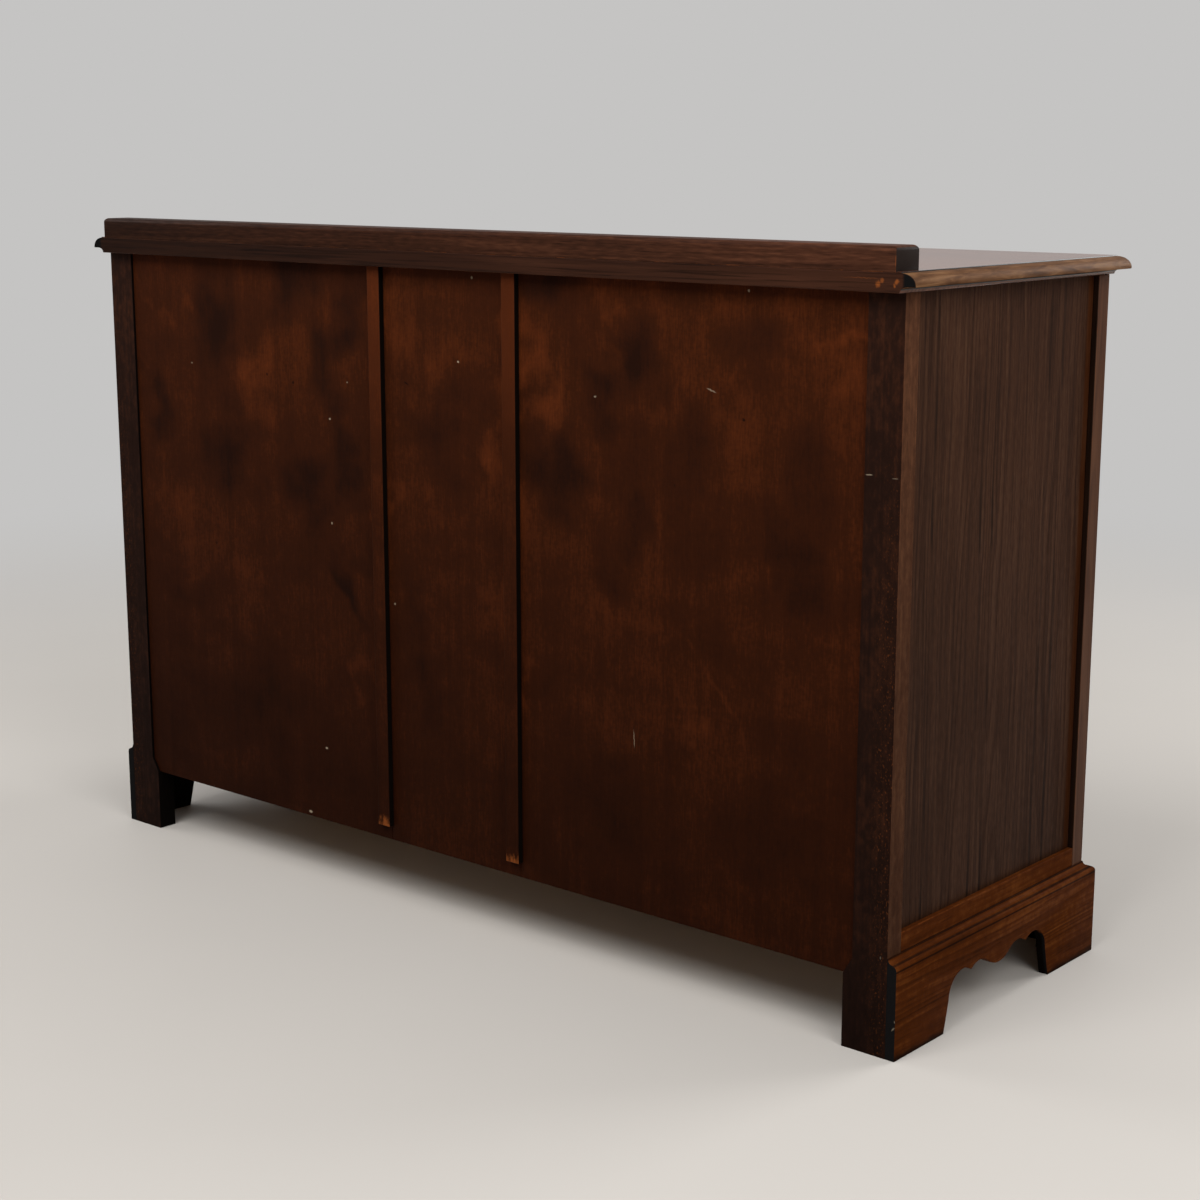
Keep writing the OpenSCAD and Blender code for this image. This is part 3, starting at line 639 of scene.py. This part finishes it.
@once
def door_panel_oak():
    """Panel oak of the doors, with painted shade on the slopes round the raised field."""
    wood = Oak("door_panel_oak", "Z", 0.42, 0.05, fine=0.6, broad=0.25, line=0.25)
    colour = wood.mix(0.45, wood.stain("panel", 0.6), wood.stain("frame", 0.6))
    slope_shade = wood.larger(wood.facing("X", 0.3, 0.6), wood.facing("Z", 0.3, 0.6))
    colour = wood.lay(wood.times(slope_shade, 0.45), wood.rub(colour), "shade")
    return wood.complete(wood.shade_towards_floor(colour, 0.8))


@once
def plinth_oak(along):
    """Orange-brown oak of the plinth and bottom rails, painted shade in its quirks and at the floor."""
    wood = Oak("plinth_oak", along, 0.42, 0.004, wave=0.008, fine=0.6, broad=0.2, line=0.25, cloud=0.9)
    wood.vary(0.5, (90, 90, 90), detail=3, roughness=0.6)
    colour = wood.rub(wood.stain("plinth"), 0.12)
    height = wood.axis("Z")
    lines = 0.0
    for middle, half in PLINTH_QUIRKS:
        lines = wood.larger(lines, wood.line(height, middle, half))
    floor_shade_noise = wood.pattern((30, 30, 60), detail=3)
    floor_shade = wood.span(wood.times_plus(floor_shade_noise, 0.012, height), *FOOT_DARK)
    # Painted shade in the quirks and along the floor, and the dark joint under the rail
    dark = wood.larger(wood.times(lines, 0.75), wood.times(floor_shade, 0.8))
    colour = wood.lay(dark, colour, "shade")
    if along == "Y":
        nicks = wood.spots(wood.warped(400.0, 0.003), END_NICKS)
        nicks = wood.times(nicks, wood.span(wood.axis("Y"), 0.19, 0.2))
        end = wood.lay(nicks, one_colour("end_dark"), "chip")
        colour = wood.mix(wood.facing("Y"), colour, end)
    # Painted shade on the faces turned towards the inside
    colour = wood.lay(wood.inward(), colour, "shade")
    return wood.complete(colour)


@once
def top_oak(along):
    """Glossy red-brown top, pale worn nosing and dark rear edge, with painted shade deepening to the
    right.
    """
    wood = Oak("top_oak", along, 0.22, 0.03, fine=0.4, broad=0.3, line=0.25)
    low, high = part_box("top_board")
    past_end = wood.minus(wood.aside(), high.x - NOSING_IN)
    past_front = wood.minus(low.y + NOSING_IN, wood.axis("Y"))
    past = wood.larger(past_end, past_front)
    rim = wood.span(past, 0.0, 0.0008)
    at_end = wood.math("GREATER_THAN", past_end, past_front)
    groove = wood.times(wood.span(past, -GROOVE, -0.0002), wood.span(past, GROOVE, 0.0004))
    colour = wood.mix(rim, wood.stain("top"), worn_nosing(wood, at_end))
    # Painted shade in the groove inside the nosing
    colour = wood.lay(groove, colour, "shade")
    spots = wood.spots(wood.warped(240.0, 0.004), TOP_EDGE_SPOTS, 0.2)
    edge = wood.lay(spots, wood.stain("upstand"), "worn")
    streaks = wood.pattern(stretched(along, 420, 7), detail=3)
    edge = wood.lay(wood.span(streaks, 0.5, 0.34, 0.0, 0.55), edge, "shade")
    ends = wood.span(past_end, 0.0, 0.004)
    edge = shaded_to_right(wood, wood.lay(ends, edge, "end_dark"), 0.7)
    rear = wood.rearward()
    colour = wood.mix(rear, colour, edge)
    wood.bump(wood.minus(wood.value, wood.pores), 0.1)
    dull = wood.larger(rim, rear)
    wood.set(Coat_Roughness=0.16, Coat_Weight=wood.span(dull, 0.0, 1.0, 0.55, 0.0))
    return wood.finish(colour, wood.span(dull, 0.0, 1.0, 0.26, 0.45))


def shaded_to_right(wood, colour, share):
    """Painted shade along the back: a colour times share at the left end, much less at the right."""
    return wood.dim(colour, wood.span(wood.axis("X"), -0.6, 0.6, share, share * 0.4, smooth=False))


def worn_nosing(wood, at_end):
    """Pale worn colour of the nosing, with its grain along Y at the ends and along X in front."""
    streaks = [wood.pattern(stretched(along, 150, 22), detail=4, roughness=0.6, distortion=0.8)
               for along in "XY"]
    blotch = wood.pattern((30, 16, 30))
    front, end = [offset(wood, blotch, 0.8, offset(wood, pattern, 1.6, 0.5)) for pattern in streaks]
    return wood.mix(at_end, wood.ramp(front, colours("nosing")), wood.ramp(end, colours("nosing")))


@once
def upstand_oak(along):
    """Dark coarse oak of the rail along the back of the top, with painted shade deepening to the right.
    """
    wood = Oak("upstand_oak", along, 0.4, 0.015, fine=0.9, broad=0.1, line=0.05, cloud=0.3)
    wood.vary(0.8, (60, 420, 420), turn=(0.0, 0.12, 0.0))
    colour = wood.rub(wood.stain("upstand"))
    colour = wood.lay(wood.facing("X"), shaded_to_right(wood, colour, 1.0), "end_grain")
    return wood.complete(colour)


@once
def raw_oak(along):
    """Unfinished wood of the inside; boards across it show their own grain."""
    wood = Oak("raw_oak", along, 0.7, 0.2)
    colour = wood.stain("raw")
    if along == "Y":
        wood.value, wood.pores = grain(wood, "X", seed=5.0)
        colour = wood.mix(wood.facing("Y"), colour, wood.stain("raw"))
    return wood.complete(colour, 0.78, 0.62)


def blotched(paint, along):
    """Tone of thin stained wood: fibres, a woven mottle, threads, wiped streaks and clouds."""
    layers = (
        (0.4, paint.pattern(stretched(along, 520, 60))),
        (0.28, paint.pattern((260, 260, 300))),
        (0.32, paint.pattern(stretched(along, 90, 3), detail=3, distortion=0.3)),
        (0.3, paint.pattern((7, 7, 17), turn=(0.0, 0.45, 0.0), distortion=0.9)),
        (0.45, paint.pattern((8, 8, 10), detail=3, roughness=0.6, distortion=0.7)))
    value = 0.48
    for weight, pattern in layers:
        value = offset(paint, pattern, weight, value)
    return value


def stained(paint, along, with_marks):
    """Red-brown stain with painted shade towards the floor, with or without the listed marks."""
    value = blotched(paint, along)
    if with_marks:
        value = paint.times_plus(paint.layer("stain"), STAIN_SHARE, value)
    colour = paint.ramp(value, colours("sheet"))
    height = paint.span(paint.axis("Z"), BACK_LOW, BACK_HIGH, 0.45, 1.0, smooth=False)
    return value, paint.dim(colour, height)


@once
def stained_sheet(along):
    """Thin plywood with a blotchy red-brown stain, light wiped streaks and a few specks."""
    paint = Painter("stained_sheet", 0.5, 0.015)
    value, colour = stained(paint, along, True)
    close = paint.warped(300.0, 0.002)
    colour = paint.lay(paint.spots(close, DARK_SPECKS), colour, "shade")
    colour = paint.lay(paint.spots(close, PALE_SPECKS), colour, "chip")
    paint.bump(value, 0.1)
    return paint.finish(colour, paint.span(value, 0.2, 0.8, 0.55, 0.4))


@once
def batten_oak(along):
    """Battens stained like the sheets, with near-black painted shade on their sides and bare lower tips.
    """
    paint = Painter("batten_oak", 0.5, 0.015)
    value, colour = stained(paint, along, False)
    bright = paint.span(paint.axis("Z"), *BATTEN_PALE)
    colour = paint.mix(paint.times(bright, 0.35), colour, colours("sheet")[2])
    ragged = paint.pattern((130, 130, 50), detail=3, roughness=0.7)
    tip = paint.span(paint.times_plus(ragged, 0.045, paint.axis("Z")), *TIP_BARE)
    colour = paint.lay(paint.times(tip, 0.5), colour, "worn")
    # Painted shade on the sides of the battens
    colour = paint.lay(paint.facing("X"), colour, "shade")
    paint.bump(value, 0.1)
    return paint.finish(colour, paint.span(value, 0.2, 0.8, 0.55, 0.4))


@once
def aged_brass():
    """Brass with dull patches."""
    paint = Painter("aged_brass", 0.35, 0.5)
    paint.set(Metallic=1.0)
    stain = paint.noise(paint.mapped(), scale=160.0, detail=4)
    dull = paint.span(stain, 0.38, 0.62)
    colour = paint.lay(dull, one_colour("brass_clean"), "brass_dull")
    paint.bump(stain, 0.15, 0.0002)
    return paint.finish(colour, paint.span(stain, 0.35, 0.65, 0.28, 0.5))


def add_object(name, data):
    """A new object, linked to the scene."""
    made = bpy.data.objects.new(name, data)
    bpy.context.scene.collection.objects.link(made)
    return made


def written(work, mesh):
    """Writes a mesh that was worked on into its place, and frees the work."""
    work.to_mesh(mesh)
    work.free()
    return mesh


def eased_copy(node, name, arris):
    """A copy of a CAD node's mesh with its triangles joined and its edges rounded by arris."""
    work = bmesh.new()
    work.from_mesh(frame["nodes"][node].data)
    bmesh.ops.remove_doubles(work, verts=work.verts, dist=MERGE)
    bmesh.ops.dissolve_limit(work, angle_limit=FLAT_ANGLE, verts=work.verts, edges=work.edges)
    rounded = work.faces.layers.float.new("arris")
    sharp = [edge for edge in work.edges if edge.calc_face_angle(0) > ARRIS_ANGLE]
    curved = {face for edge in work.edges if FLAT_ANGLE < edge.calc_face_angle(0) <= ARRIS_ANGLE
              for face in edge.link_faces}
    for face in work.faces:
        face.smooth = face in curved
    made = bmesh.ops.bevel(work, geom=sharp, offset=arris, offset_type="OFFSET", segments=2,
                           profile=0.5, affect="EDGES", clamp_overlap=True)
    for face in made["faces"]:
        face.smooth = True
        face[rounded] = 1.0
    return add_object(name, written(work, bpy.data.meshes.new(name)))


def falling(value, edge, core):
    """1 up to core, 0 beyond edge, with a smooth fall between them."""
    share = min(max((edge - value) / (edge - core), 0.0), 1.0)
    return share * share * (3.0 - 2.0 * share)


def ellipse_at(x, z, shape):
    """Strength of a soft upright ellipse at a point of the back."""
    centre_x, centre_z, half_width, half_height, tilt = shape
    turn = math.radians(tilt)
    right = (x - centre_x) * math.cos(turn) - (z - centre_z) * math.sin(turn)
    up = (x - centre_x) * math.sin(turn) + (z - centre_z) * math.cos(turn)
    return falling(math.hypot(right / half_width, up / half_height), CLOUD_EDGE, CLOUD_CORE)


def stain_at(x, z):
    """How much lighter (above 0) or darker (below 0) the stain is at a point of the back."""
    start = Vector((x, 0.0, z))
    for ragged, reach in STAIN_RAGGED:
        push = noise.noise_vector(start * ragged) * reach
        x += push.x
        z += push.z
    dark = max(ellipse_at(x, z, cloud[:5]) * cloud[5] for cloud in DARK_CLOUDS)
    light = max(ellipse_at(x, z, cloud[:5]) * cloud[5] for cloud in LIGHT_CLOUDS)
    for centre_x, centre_z, radius, window, strength in WIPED_ARCS:
        off = abs(math.hypot(x - centre_x, z - centre_z) - radius)
        light = max(light, falling(off, ARC_WIDTH, 0.0) * ellipse_at(x, z, window) * strength)
    patchy = 1.0 + PATCH_SHARE * noise.noise(start * STAIN_PATCHES)
    return (light * LIGHT_SHARE - dark * DARK_SHARE) * patchy


def add_stain(piece):
    """Divides the broad back face of a sheet and stores the stain in its corners."""
    work = bmesh.new()
    work.from_mesh(piece.data)
    broad = [face for face in work.faces if face.normal.y > 0.9]
    largest = max(broad, key=lambda face: face.calc_area())
    bmesh.ops.subdivide_edges(work, edges=largest.edges[:], cuts=STAIN_CUTS, use_grid_fill=True)
    layer = work.verts.layers.float.new("stain")
    for corner in work.verts:
        corner[layer] = stain_at(corner.co.x, corner.co.z)
    written(work, piece.data)


def sizes():
    return bpy.context.scene.sideboard_sizes


def dress(node, material, arris="arris"):
    """A finished piece that stands for a CAD node, with edges rounded by the size of that name."""
    piece = eased_copy(node, f"{node}_finished", getattr(sizes(), arris))
    piece.data.materials.append(material)
    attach(piece, BODY_OF[node])
    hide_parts(node)
    return piece


def tree_inputs(tree, **kinds):
    """Adds named inputs to a Geometry Nodes tree."""
    tree.interface.new_socket("Geometry", in_out="INPUT", socket_type="NodeSocketGeometry")
    tree.interface.new_socket("Geometry", in_out="OUTPUT", socket_type="NodeSocketGeometry")
    for name, kind in kinds.items():
        tree.interface.new_socket(name, in_out="INPUT", socket_type=f"NodeSocket{kind}")
    return tree.nodes.new("NodeGroupInput").outputs


def in_row(tree, given, instance, **options):
    """Instances of a mesh in the row that the tree's inputs give."""
    row = result(tree, "GeometryNodeMeshLine", {
        "Count": given["Count"], "Start Location": given["First"], "Offset": given["Step"]})
    return result(tree, "GeometryNodeInstanceOnPoints", {
        "Points": row, "Instance": instance, **options})


def end_tree(tree, geometry, material):
    """Turns instances into real mesh, sets the material and closes the tree."""
    real = result(tree, "GeometryNodeRealizeInstances", {"Geometry": geometry})
    painted = result(tree, "GeometryNodeSetMaterial", {"Geometry": real, "Material": material})
    add_node(tree, "NodeGroupOutput", {0: painted})
    return tree


def screw_tree():
    """Tree that sets slotted screw heads in a row."""
    tree = bpy.data.node_groups.new("screw_row", "GeometryNodeTree")
    given = tree_inputs(tree, Count="Int", First="Vector", Step="Vector", Turn="Vector",
                        Radius="Float", Height="Float", Seed="Int", Material="Material")
    radius, height = given["Radius"], given["Height"]
    head = result(tree, "GeometryNodeMeshCylinder", {
        "Vertices": SCREW_SIDES, "Radius": radius, "Depth": height})
    slot_size = result(tree, "ShaderNodeCombineXYZ", {
        "X": calculated(tree, "MULTIPLY", radius, SLOT_LENGTH),
        "Y": calculated(tree, "MULTIPLY", radius, SLOT_WIDTH), "Z": height})
    slot = result(tree, "GeometryNodeMeshCube", {"Size": slot_size})
    raised = result(tree, "ShaderNodeCombineXYZ", {
        "Z": calculated(tree, "MULTIPLY", height, SLOT_RISE)})
    cutter = result(tree, "GeometryNodeTransform", {"Geometry": slot, "Translation": raised})
    cut = result(tree, "GeometryNodeMeshBoolean", {"Mesh 1": head, "Mesh 2": cutter},
                 operation="DIFFERENCE")
    spread = in_row(tree, given, cut, Rotation=given["Turn"])
    angle = result(tree, "FunctionNodeRandomValue", {
        "Min": (0, 0, 0), "Max": (0, 0, math.pi), "Seed": given["Seed"]}, data_type="FLOAT_VECTOR")
    turned = result(tree, "GeometryNodeRotateInstances", {"Instances": spread, "Rotation": angle})
    return end_tree(tree, turned, given["Material"])


def tail_tree():
    """Tree that sets dovetails in a row, each wider at its front end."""
    tree = bpy.data.node_groups.new("tail_row", "GeometryNodeTree")
    given = tree_inputs(tree, Count="Int", First="Vector", Step="Vector", Size="Vector",
                        Flare="Float", Material="Material")
    block = result(tree, "GeometryNodeMeshCube", {"Size": given["Size"]})
    corner = result(tree, "GeometryNodeInputPosition")
    place = add_node(tree, "ShaderNodeSeparateXYZ", {0: corner}).outputs
    front = calculated(tree, "LESS_THAN", place["Y"], 0.0)
    wider = calculated(tree, "MULTIPLY", place["Z"], given["Flare"])
    shift = result(tree, "ShaderNodeCombineXYZ", {"Z": calculated(tree, "MULTIPLY", wider, front)})
    shaped = result(tree, "GeometryNodeSetPosition", {"Geometry": block, "Offset": shift})
    return end_tree(tree, in_row(tree, given, shaped), given["Material"])


def grown(tree, values):
    """The mesh that a tree makes with these inputs."""
    carrier = add_object("carrier", bpy.data.meshes.new("carrier"))
    modifier = carrier.modifiers.new("grow", "NODES")
    modifier.node_group = tree
    for item in tree.interface.items_tree:
        if item.in_out == "INPUT" and item.name in values:
            modifier[item.identifier] = values[item.name]
    evaluated = carrier.evaluated_get(bpy.context.evaluated_depsgraph_get())
    mesh = bpy.data.meshes.new_from_object(evaluated)
    carrier.modifiers.remove(modifier)
    bpy.data.objects.remove(carrier)
    return mesh


def gathered(name, meshes, material, body):
    """One piece made of several meshes of one material."""
    work = bmesh.new()
    for mesh in meshes:
        work.from_mesh(mesh)
    for face in work.faces:
        face.material_index = 0
    joined = written(work, bpy.data.meshes.new(name))
    joined.materials.append(material)
    piece = add_object(name, joined)
    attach(piece, body)
    return piece


class SIDEBOARD_OT_top(bpy.types.Operator):
    """Top board with its nosing, and the rail that stands along its back edge"""

    bl_idname = "sideboard.top"
    bl_label = "Top and back rail"

    def execute(self, context):
        dress("top_board", top_oak("X"))
        dress("rear_upstand", upstand_oak("X"))
        return {"FINISHED"}


class SIDEBOARD_OT_corner_posts(bpy.types.Operator):
    """Four corner posts with eased arrises"""

    bl_idname = "sideboard.corner_posts"
    bl_label = "Corner posts"

    def execute(self, context):
        for side in SIDES:
            dress(f"post_rear_{side}", rear_post_oak("Z"), "arris_soft")
            dress(f"post_front_{side}", front_post_oak("Z"))
        return {"FINISHED"}


class SIDEBOARD_OT_end_panels(bpy.types.Operator):
    """Panels and bottom rails of both ends"""

    bl_idname = "sideboard.end_panels"
    bl_label = "End panels and rails"

    def execute(self, context):
        for side in SIDES:
            dress(f"side_panel_{side}", panel_oak("Z"), "arris_fine")
            dress(f"side_rail_{side}", plinth_oak("Y"))
        return {"FINISHED"}


class SIDEBOARD_OT_back(bpy.types.Operator):
    """Three stained sheets and the battens over their joints"""

    bl_idname = "sideboard.back"
    bl_label = "Back sheets and battens"

    def execute(self, context):
        noise.seed_set(STAIN_SEED)
        for place in ("left", "centre", "right"):
            add_stain(dress(f"back_sheet_{place}", stained_sheet("Z"), "arris_fine"))
        for side in SIDES:
            dress(f"back_batten_{side}", batten_oak("Z"))
        return {"FINISHED"}


class SIDEBOARD_OT_plinth(bpy.types.Operator):
    """Moulded plinth boards with shaped cut-outs"""

    bl_idname = "sideboard.plinth"
    bl_label = "Plinth"

    def execute(self, context):
        for side in SIDES:
            dress(f"plinth_side_{side}", plinth_oak("Y"))
        dress("plinth_front", plinth_oak("X"))
        return {"FINISHED"}


class SIDEBOARD_OT_front_frame(bpy.types.Operator):
    """Rails and partitions that show from the front"""

    bl_idname = "sideboard.front_frame"
    bl_label = "Front frame"

    def execute(self, context):
        for node in ("front_bottom_rail", "front_top_rail", "drawer_rail_left", "drawer_rail_right",
                     "centre_rails"):
            dress(node, frame_oak("X"))
        for side in SIDES:
            dress(f"partition_{side}", frame_oak("Z"))
        return {"FINISHED"}


class SIDEBOARD_OT_inside(bpy.types.Operator):
    """Unfinished boards, runners, shelves and blocks inside"""

    bl_idname = "sideboard.inside"
    bl_label = "Inside boards"

    def execute(self, context):
        for node in ("rear_top_rail", "base_board", "shelf_left", "shelf_right"):
            dress(node, raw_oak("X"))
        for node in ("top_cleats", "wide_runners", "centre_runners", "shelf_bearers"):
            dress(node, raw_oak("Y"))
        dress("glue_blocks", raw_oak("Z"))
        return {"FINISHED"}


class SIDEBOARD_OT_drawers(bpy.types.Operator):
    """Drawer fronts, dovetailed boxes and turned knobs"""

    bl_idname = "sideboard.drawers"
    bl_label = "Drawers"

    def execute(self, context):
        tails = tail_tree()
        for name in ("left", "right", "upper", "middle", "lower"):
            drawer = f"drawer_{name}"
            knob = f"{drawer}_knobs" if name in SIDES else f"{drawer}_knob"
            dress(f"{drawer}_front", frame_oak("X"))
            dress(f"{drawer}_box", raw_oak("Y"), "arris_fine")
            dress(knob, dark_oak("Y"), "arris_fine")
            self.add_tails(drawer, tails)
        return {"FINISHED"}

    def add_tails(self, drawer, tree):
        """Dovetails in both side edges of a drawer front."""
        size = sizes()
        low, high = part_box(f"{drawer}_front")
        box_low, box_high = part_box(f"{drawer}_box")
        height = box_high.z - box_low.z
        count = max(LEAST_TAILS, round(height / (size.tail_width * TAIL_SPACING)))
        step = height / count
        meshes = []
        for edge, side in ((low.x, -1), (high.x, 1)):
            first = Vector((edge + side * (size.tail_relief / 2), high.y - size.tail_length / 2,
                            box_low.z + step / 2))
            meshes.append(grown(tree, {
                "Count": count, "First": first, "Step": Vector((0, 0, step)),
                "Size": Vector((size.tail_relief, size.tail_length, size.tail_width)),
                "Flare": TAIL_FLARE, "Material": raw_oak("Y")}))
        gathered(f"{drawer}_tails", meshes, raw_oak("Y"), drawer)


class SIDEBOARD_OT_doors(bpy.types.Operator):
    """Framed doors with raised panels and turned knobs"""

    bl_idname = "sideboard.doors"
    bl_label = "Doors"

    def execute(self, context):
        for side in SIDES:
            dress(f"door_{side}_frame", door_frame_oak())
            dress(f"door_{side}_panel", door_panel_oak())
            dress(f"door_{side}_knob", dark_oak("Y"), "arris_fine")
        return {"FINISHED"}


class SIDEBOARD_OT_hinges(bpy.types.Operator):
    """Brass butt hinges and their slotted screws"""

    bl_idname = "sideboard.hinges"
    bl_label = "Hinges"

    def execute(self, context):
        tree = screw_tree()
        dress("post_hinge_leaves", aged_brass(), "arris_fine")
        on_posts = []
        for side, outward in (("left", -1), ("right", 1)):
            dress(f"door_{side}_hinge_leaves", aged_brass(), "arris_fine")
            pin_x = PINS[f"door_{side}_hinge"][0]
            on_posts += self.screw_rows(tree, pin_x + outward * LEAF_GAP / 2)
            on_door = self.screw_rows(tree, pin_x - outward * LEAF_GAP / 2)
            gathered(f"door_{side}_screws", on_door, aged_brass(), f"door_{side}")
        gathered("post_screws", on_posts, aged_brass(), "carcass")
        return {"FINISHED"}

    def screw_rows(self, tree, x):
        """Rows of screws in the lower and the upper leaf whose faces lie at x."""
        size = sizes()
        low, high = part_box("door_left_hinge_leaves")
        meshes = []
        for seed, bottom in enumerate((low.z, high.z - HINGE_HEIGHT)):
            meshes.append(grown(tree, {
                "Count": SCREWS, "First": Vector((x, high.y - SCREW_EDGE, bottom + SCREW_END)),
                "Step": Vector((0, 0, (HINGE_HEIGHT - 2 * SCREW_END) / (SCREWS - 1))),
                "Turn": Vector((0, math.radians(90), 0)), "Radius": size.screw_radius,
                "Height": size.screw_height, "Seed": seed, "Material": aged_brass()}))
        return meshes


def floor_material():
    """A plain pale floor that fades into the background far from the sideboard."""
    paint = Painter("plain_floor", 0.6, 0.2)
    colour = one_colour("floor")
    darker = (*[value * FLOOR_DARKER for value in colour[:3]], 1.0)
    drift = paint.noise(paint.mapped(), scale=1.3, detail=3)
    material = paint.finish(paint.mix(paint.span(drift, 0.3, 0.7), colour, darker))
    tree = paint.tree
    reach = paint.vector_math("LENGTH", paint.place, output="Value")
    far = paint.span(reach, FADE_START, FADE_END)
    seen = tree.nodes.new("ShaderNodeLightPath").outputs["Is Camera Ray"]
    glow = paint.add("ShaderNodeEmission", {"Color": one_colour("background")})
    blend = paint.add("ShaderNodeMixShader", {
        0: paint.times(far, seen), 1: paint.shader.outputs[0], 2: glow})
    tree.links.new(blend, tree.nodes["Material Output"].inputs["Surface"])
    return material


def lamp(name, place, target, width, power):
    """A square soft light that faces a target."""
    data = bpy.data.lights.new(name, "AREA")
    data.shape = "SQUARE"
    data.size = width
    data.energy = power
    light = add_object(name, data)
    light.location = place
    light.rotation_euler = (Vector(target) - Vector(place)).to_track_quat("-Z", "Y").to_euler()


class SIDEBOARD_OT_stage(bpy.types.Operator):
    """Floor, background, soft lights and the camera"""

    bl_idname = "sideboard.stage"
    bl_label = "Stage"

    def execute(self, context):
        self.add_floor()
        self.add_world()
        middle = (0.0, 0.0, 0.45)
        lamp("key", (-3.2, 1.3, 2.6), middle, 2.0, 68)
        lamp("back_overhead", (-0.2, 2.3, 3.1), (0.0, 0.2, 0.6), 2.0, 84)
        lamp("right_fill", (3.3, 0.9, 2.4), middle, 2.2, 38)
        lamp("front_fill", (-1.8, -3.3, 2.4), middle, 2.2, 88)
        self.add_camera()
        context.scene.view_settings.view_transform = "Standard"
        return {"FINISHED"}

    def add_floor(self):
        """A plain disc under the sideboard."""
        work = bmesh.new()
        bmesh.ops.create_circle(work, cap_ends=True, segments=96, radius=FLOOR_RADIUS)
        mesh = written(work, bpy.data.meshes.new("floor"))
        mesh.materials.append(floor_material())
        floor = add_object("floor", mesh)

    def add_world(self):
        """Even light all round, with the pale background where a ray meets it directly."""
        world = bpy.data.worlds.new("studio")
        bpy.context.scene.world = world
        world.use_nodes = True
        tree = world.node_tree
        ray = tree.nodes.new("ShaderNodeLightPath").outputs
        either = calculated(tree, "MAXIMUM", ray["Is Camera Ray"], ray["Is Glossy Ray"])
        any_of = calculated(tree, "MAXIMUM", either, ray["Is Transmission Ray"])
        upward = add_node(tree, "ShaderNodeSeparateXYZ", {
            0: tree.nodes.new("ShaderNodeTexCoord").outputs["Generated"]}).outputs["Z"]
        level = result(tree, "ShaderNodeMapRange", {
            "Value": upward, "From Min": 0.0, "From Max": 1.0, "To Min": 0.05, "To Max": 0.65})
        glow = result(tree, "ShaderNodeBackground", {"Color": (1, 1, 1, 1), "Strength": level})
        seen = result(tree, "ShaderNodeBackground", {"Color": one_colour("background"), "Strength": 1.0})
        chosen = result(tree, "ShaderNodeMixShader", {0: any_of, 1: glow, 2: seen})
        tree.links.new(chosen, tree.nodes["World Output"].inputs["Surface"])

    def add_camera(self):
        """Camera at the place from which the photo was taken."""
        data = bpy.data.cameras.new("camera")
        data.lens = FOCAL_LENGTH
        data.sensor_width = 36.0
        camera = add_object("camera", data)
        camera.location = CAMERA_PLACE
        camera.rotation_euler = Euler([math.radians(angle) for angle in CAMERA_TURN])
        bpy.context.scene.camera = camera


STEPS = (
    SIDEBOARD_OT_top, SIDEBOARD_OT_corner_posts, SIDEBOARD_OT_end_panels, SIDEBOARD_OT_back,
    SIDEBOARD_OT_plinth, SIDEBOARD_OT_front_frame, SIDEBOARD_OT_inside, SIDEBOARD_OT_drawers,
    SIDEBOARD_OT_doors, SIDEBOARD_OT_hinges, SIDEBOARD_OT_stage,
)


class SIDEBOARD_PT_panel(bpy.types.Panel):
    """Lists the steps that build the sideboard's finishes"""

    bl_idname = "SIDEBOARD_PT_panel"
    bl_label = "Sideboard"
    bl_space_type = "VIEW_3D"
    bl_region_type = "UI"
    bl_category = "Sideboard"

    def draw(self, context):
        for step in STEPS:
            self.layout.operator(step.bl_idname)
        for group in (context.scene.sideboard_sizes, context.scene.sideboard_colours):
            for name in type(group).__annotations__:
                self.layout.prop(group, name)


CLASSES = (SideboardSizes, SideboardColours, *STEPS, SIDEBOARD_PT_panel)


def register():
    for cls in CLASSES:
        bpy.utils.register_class(cls)
    bpy.types.Scene.sideboard_sizes = bpy.props.PointerProperty(type=SideboardSizes)
    bpy.types.Scene.sideboard_colours = bpy.props.PointerProperty(type=SideboardColours)


def unregister():
    del bpy.types.Scene.sideboard_colours
    del bpy.types.Scene.sideboard_sizes
    for cls in reversed(CLASSES):
        bpy.utils.unregister_class(cls)


def main():
    register()
    for step in STEPS:
        getattr(bpy.ops.sideboard, step.bl_idname.split(".")[1])()


if __name__ == "__main__":
    main()
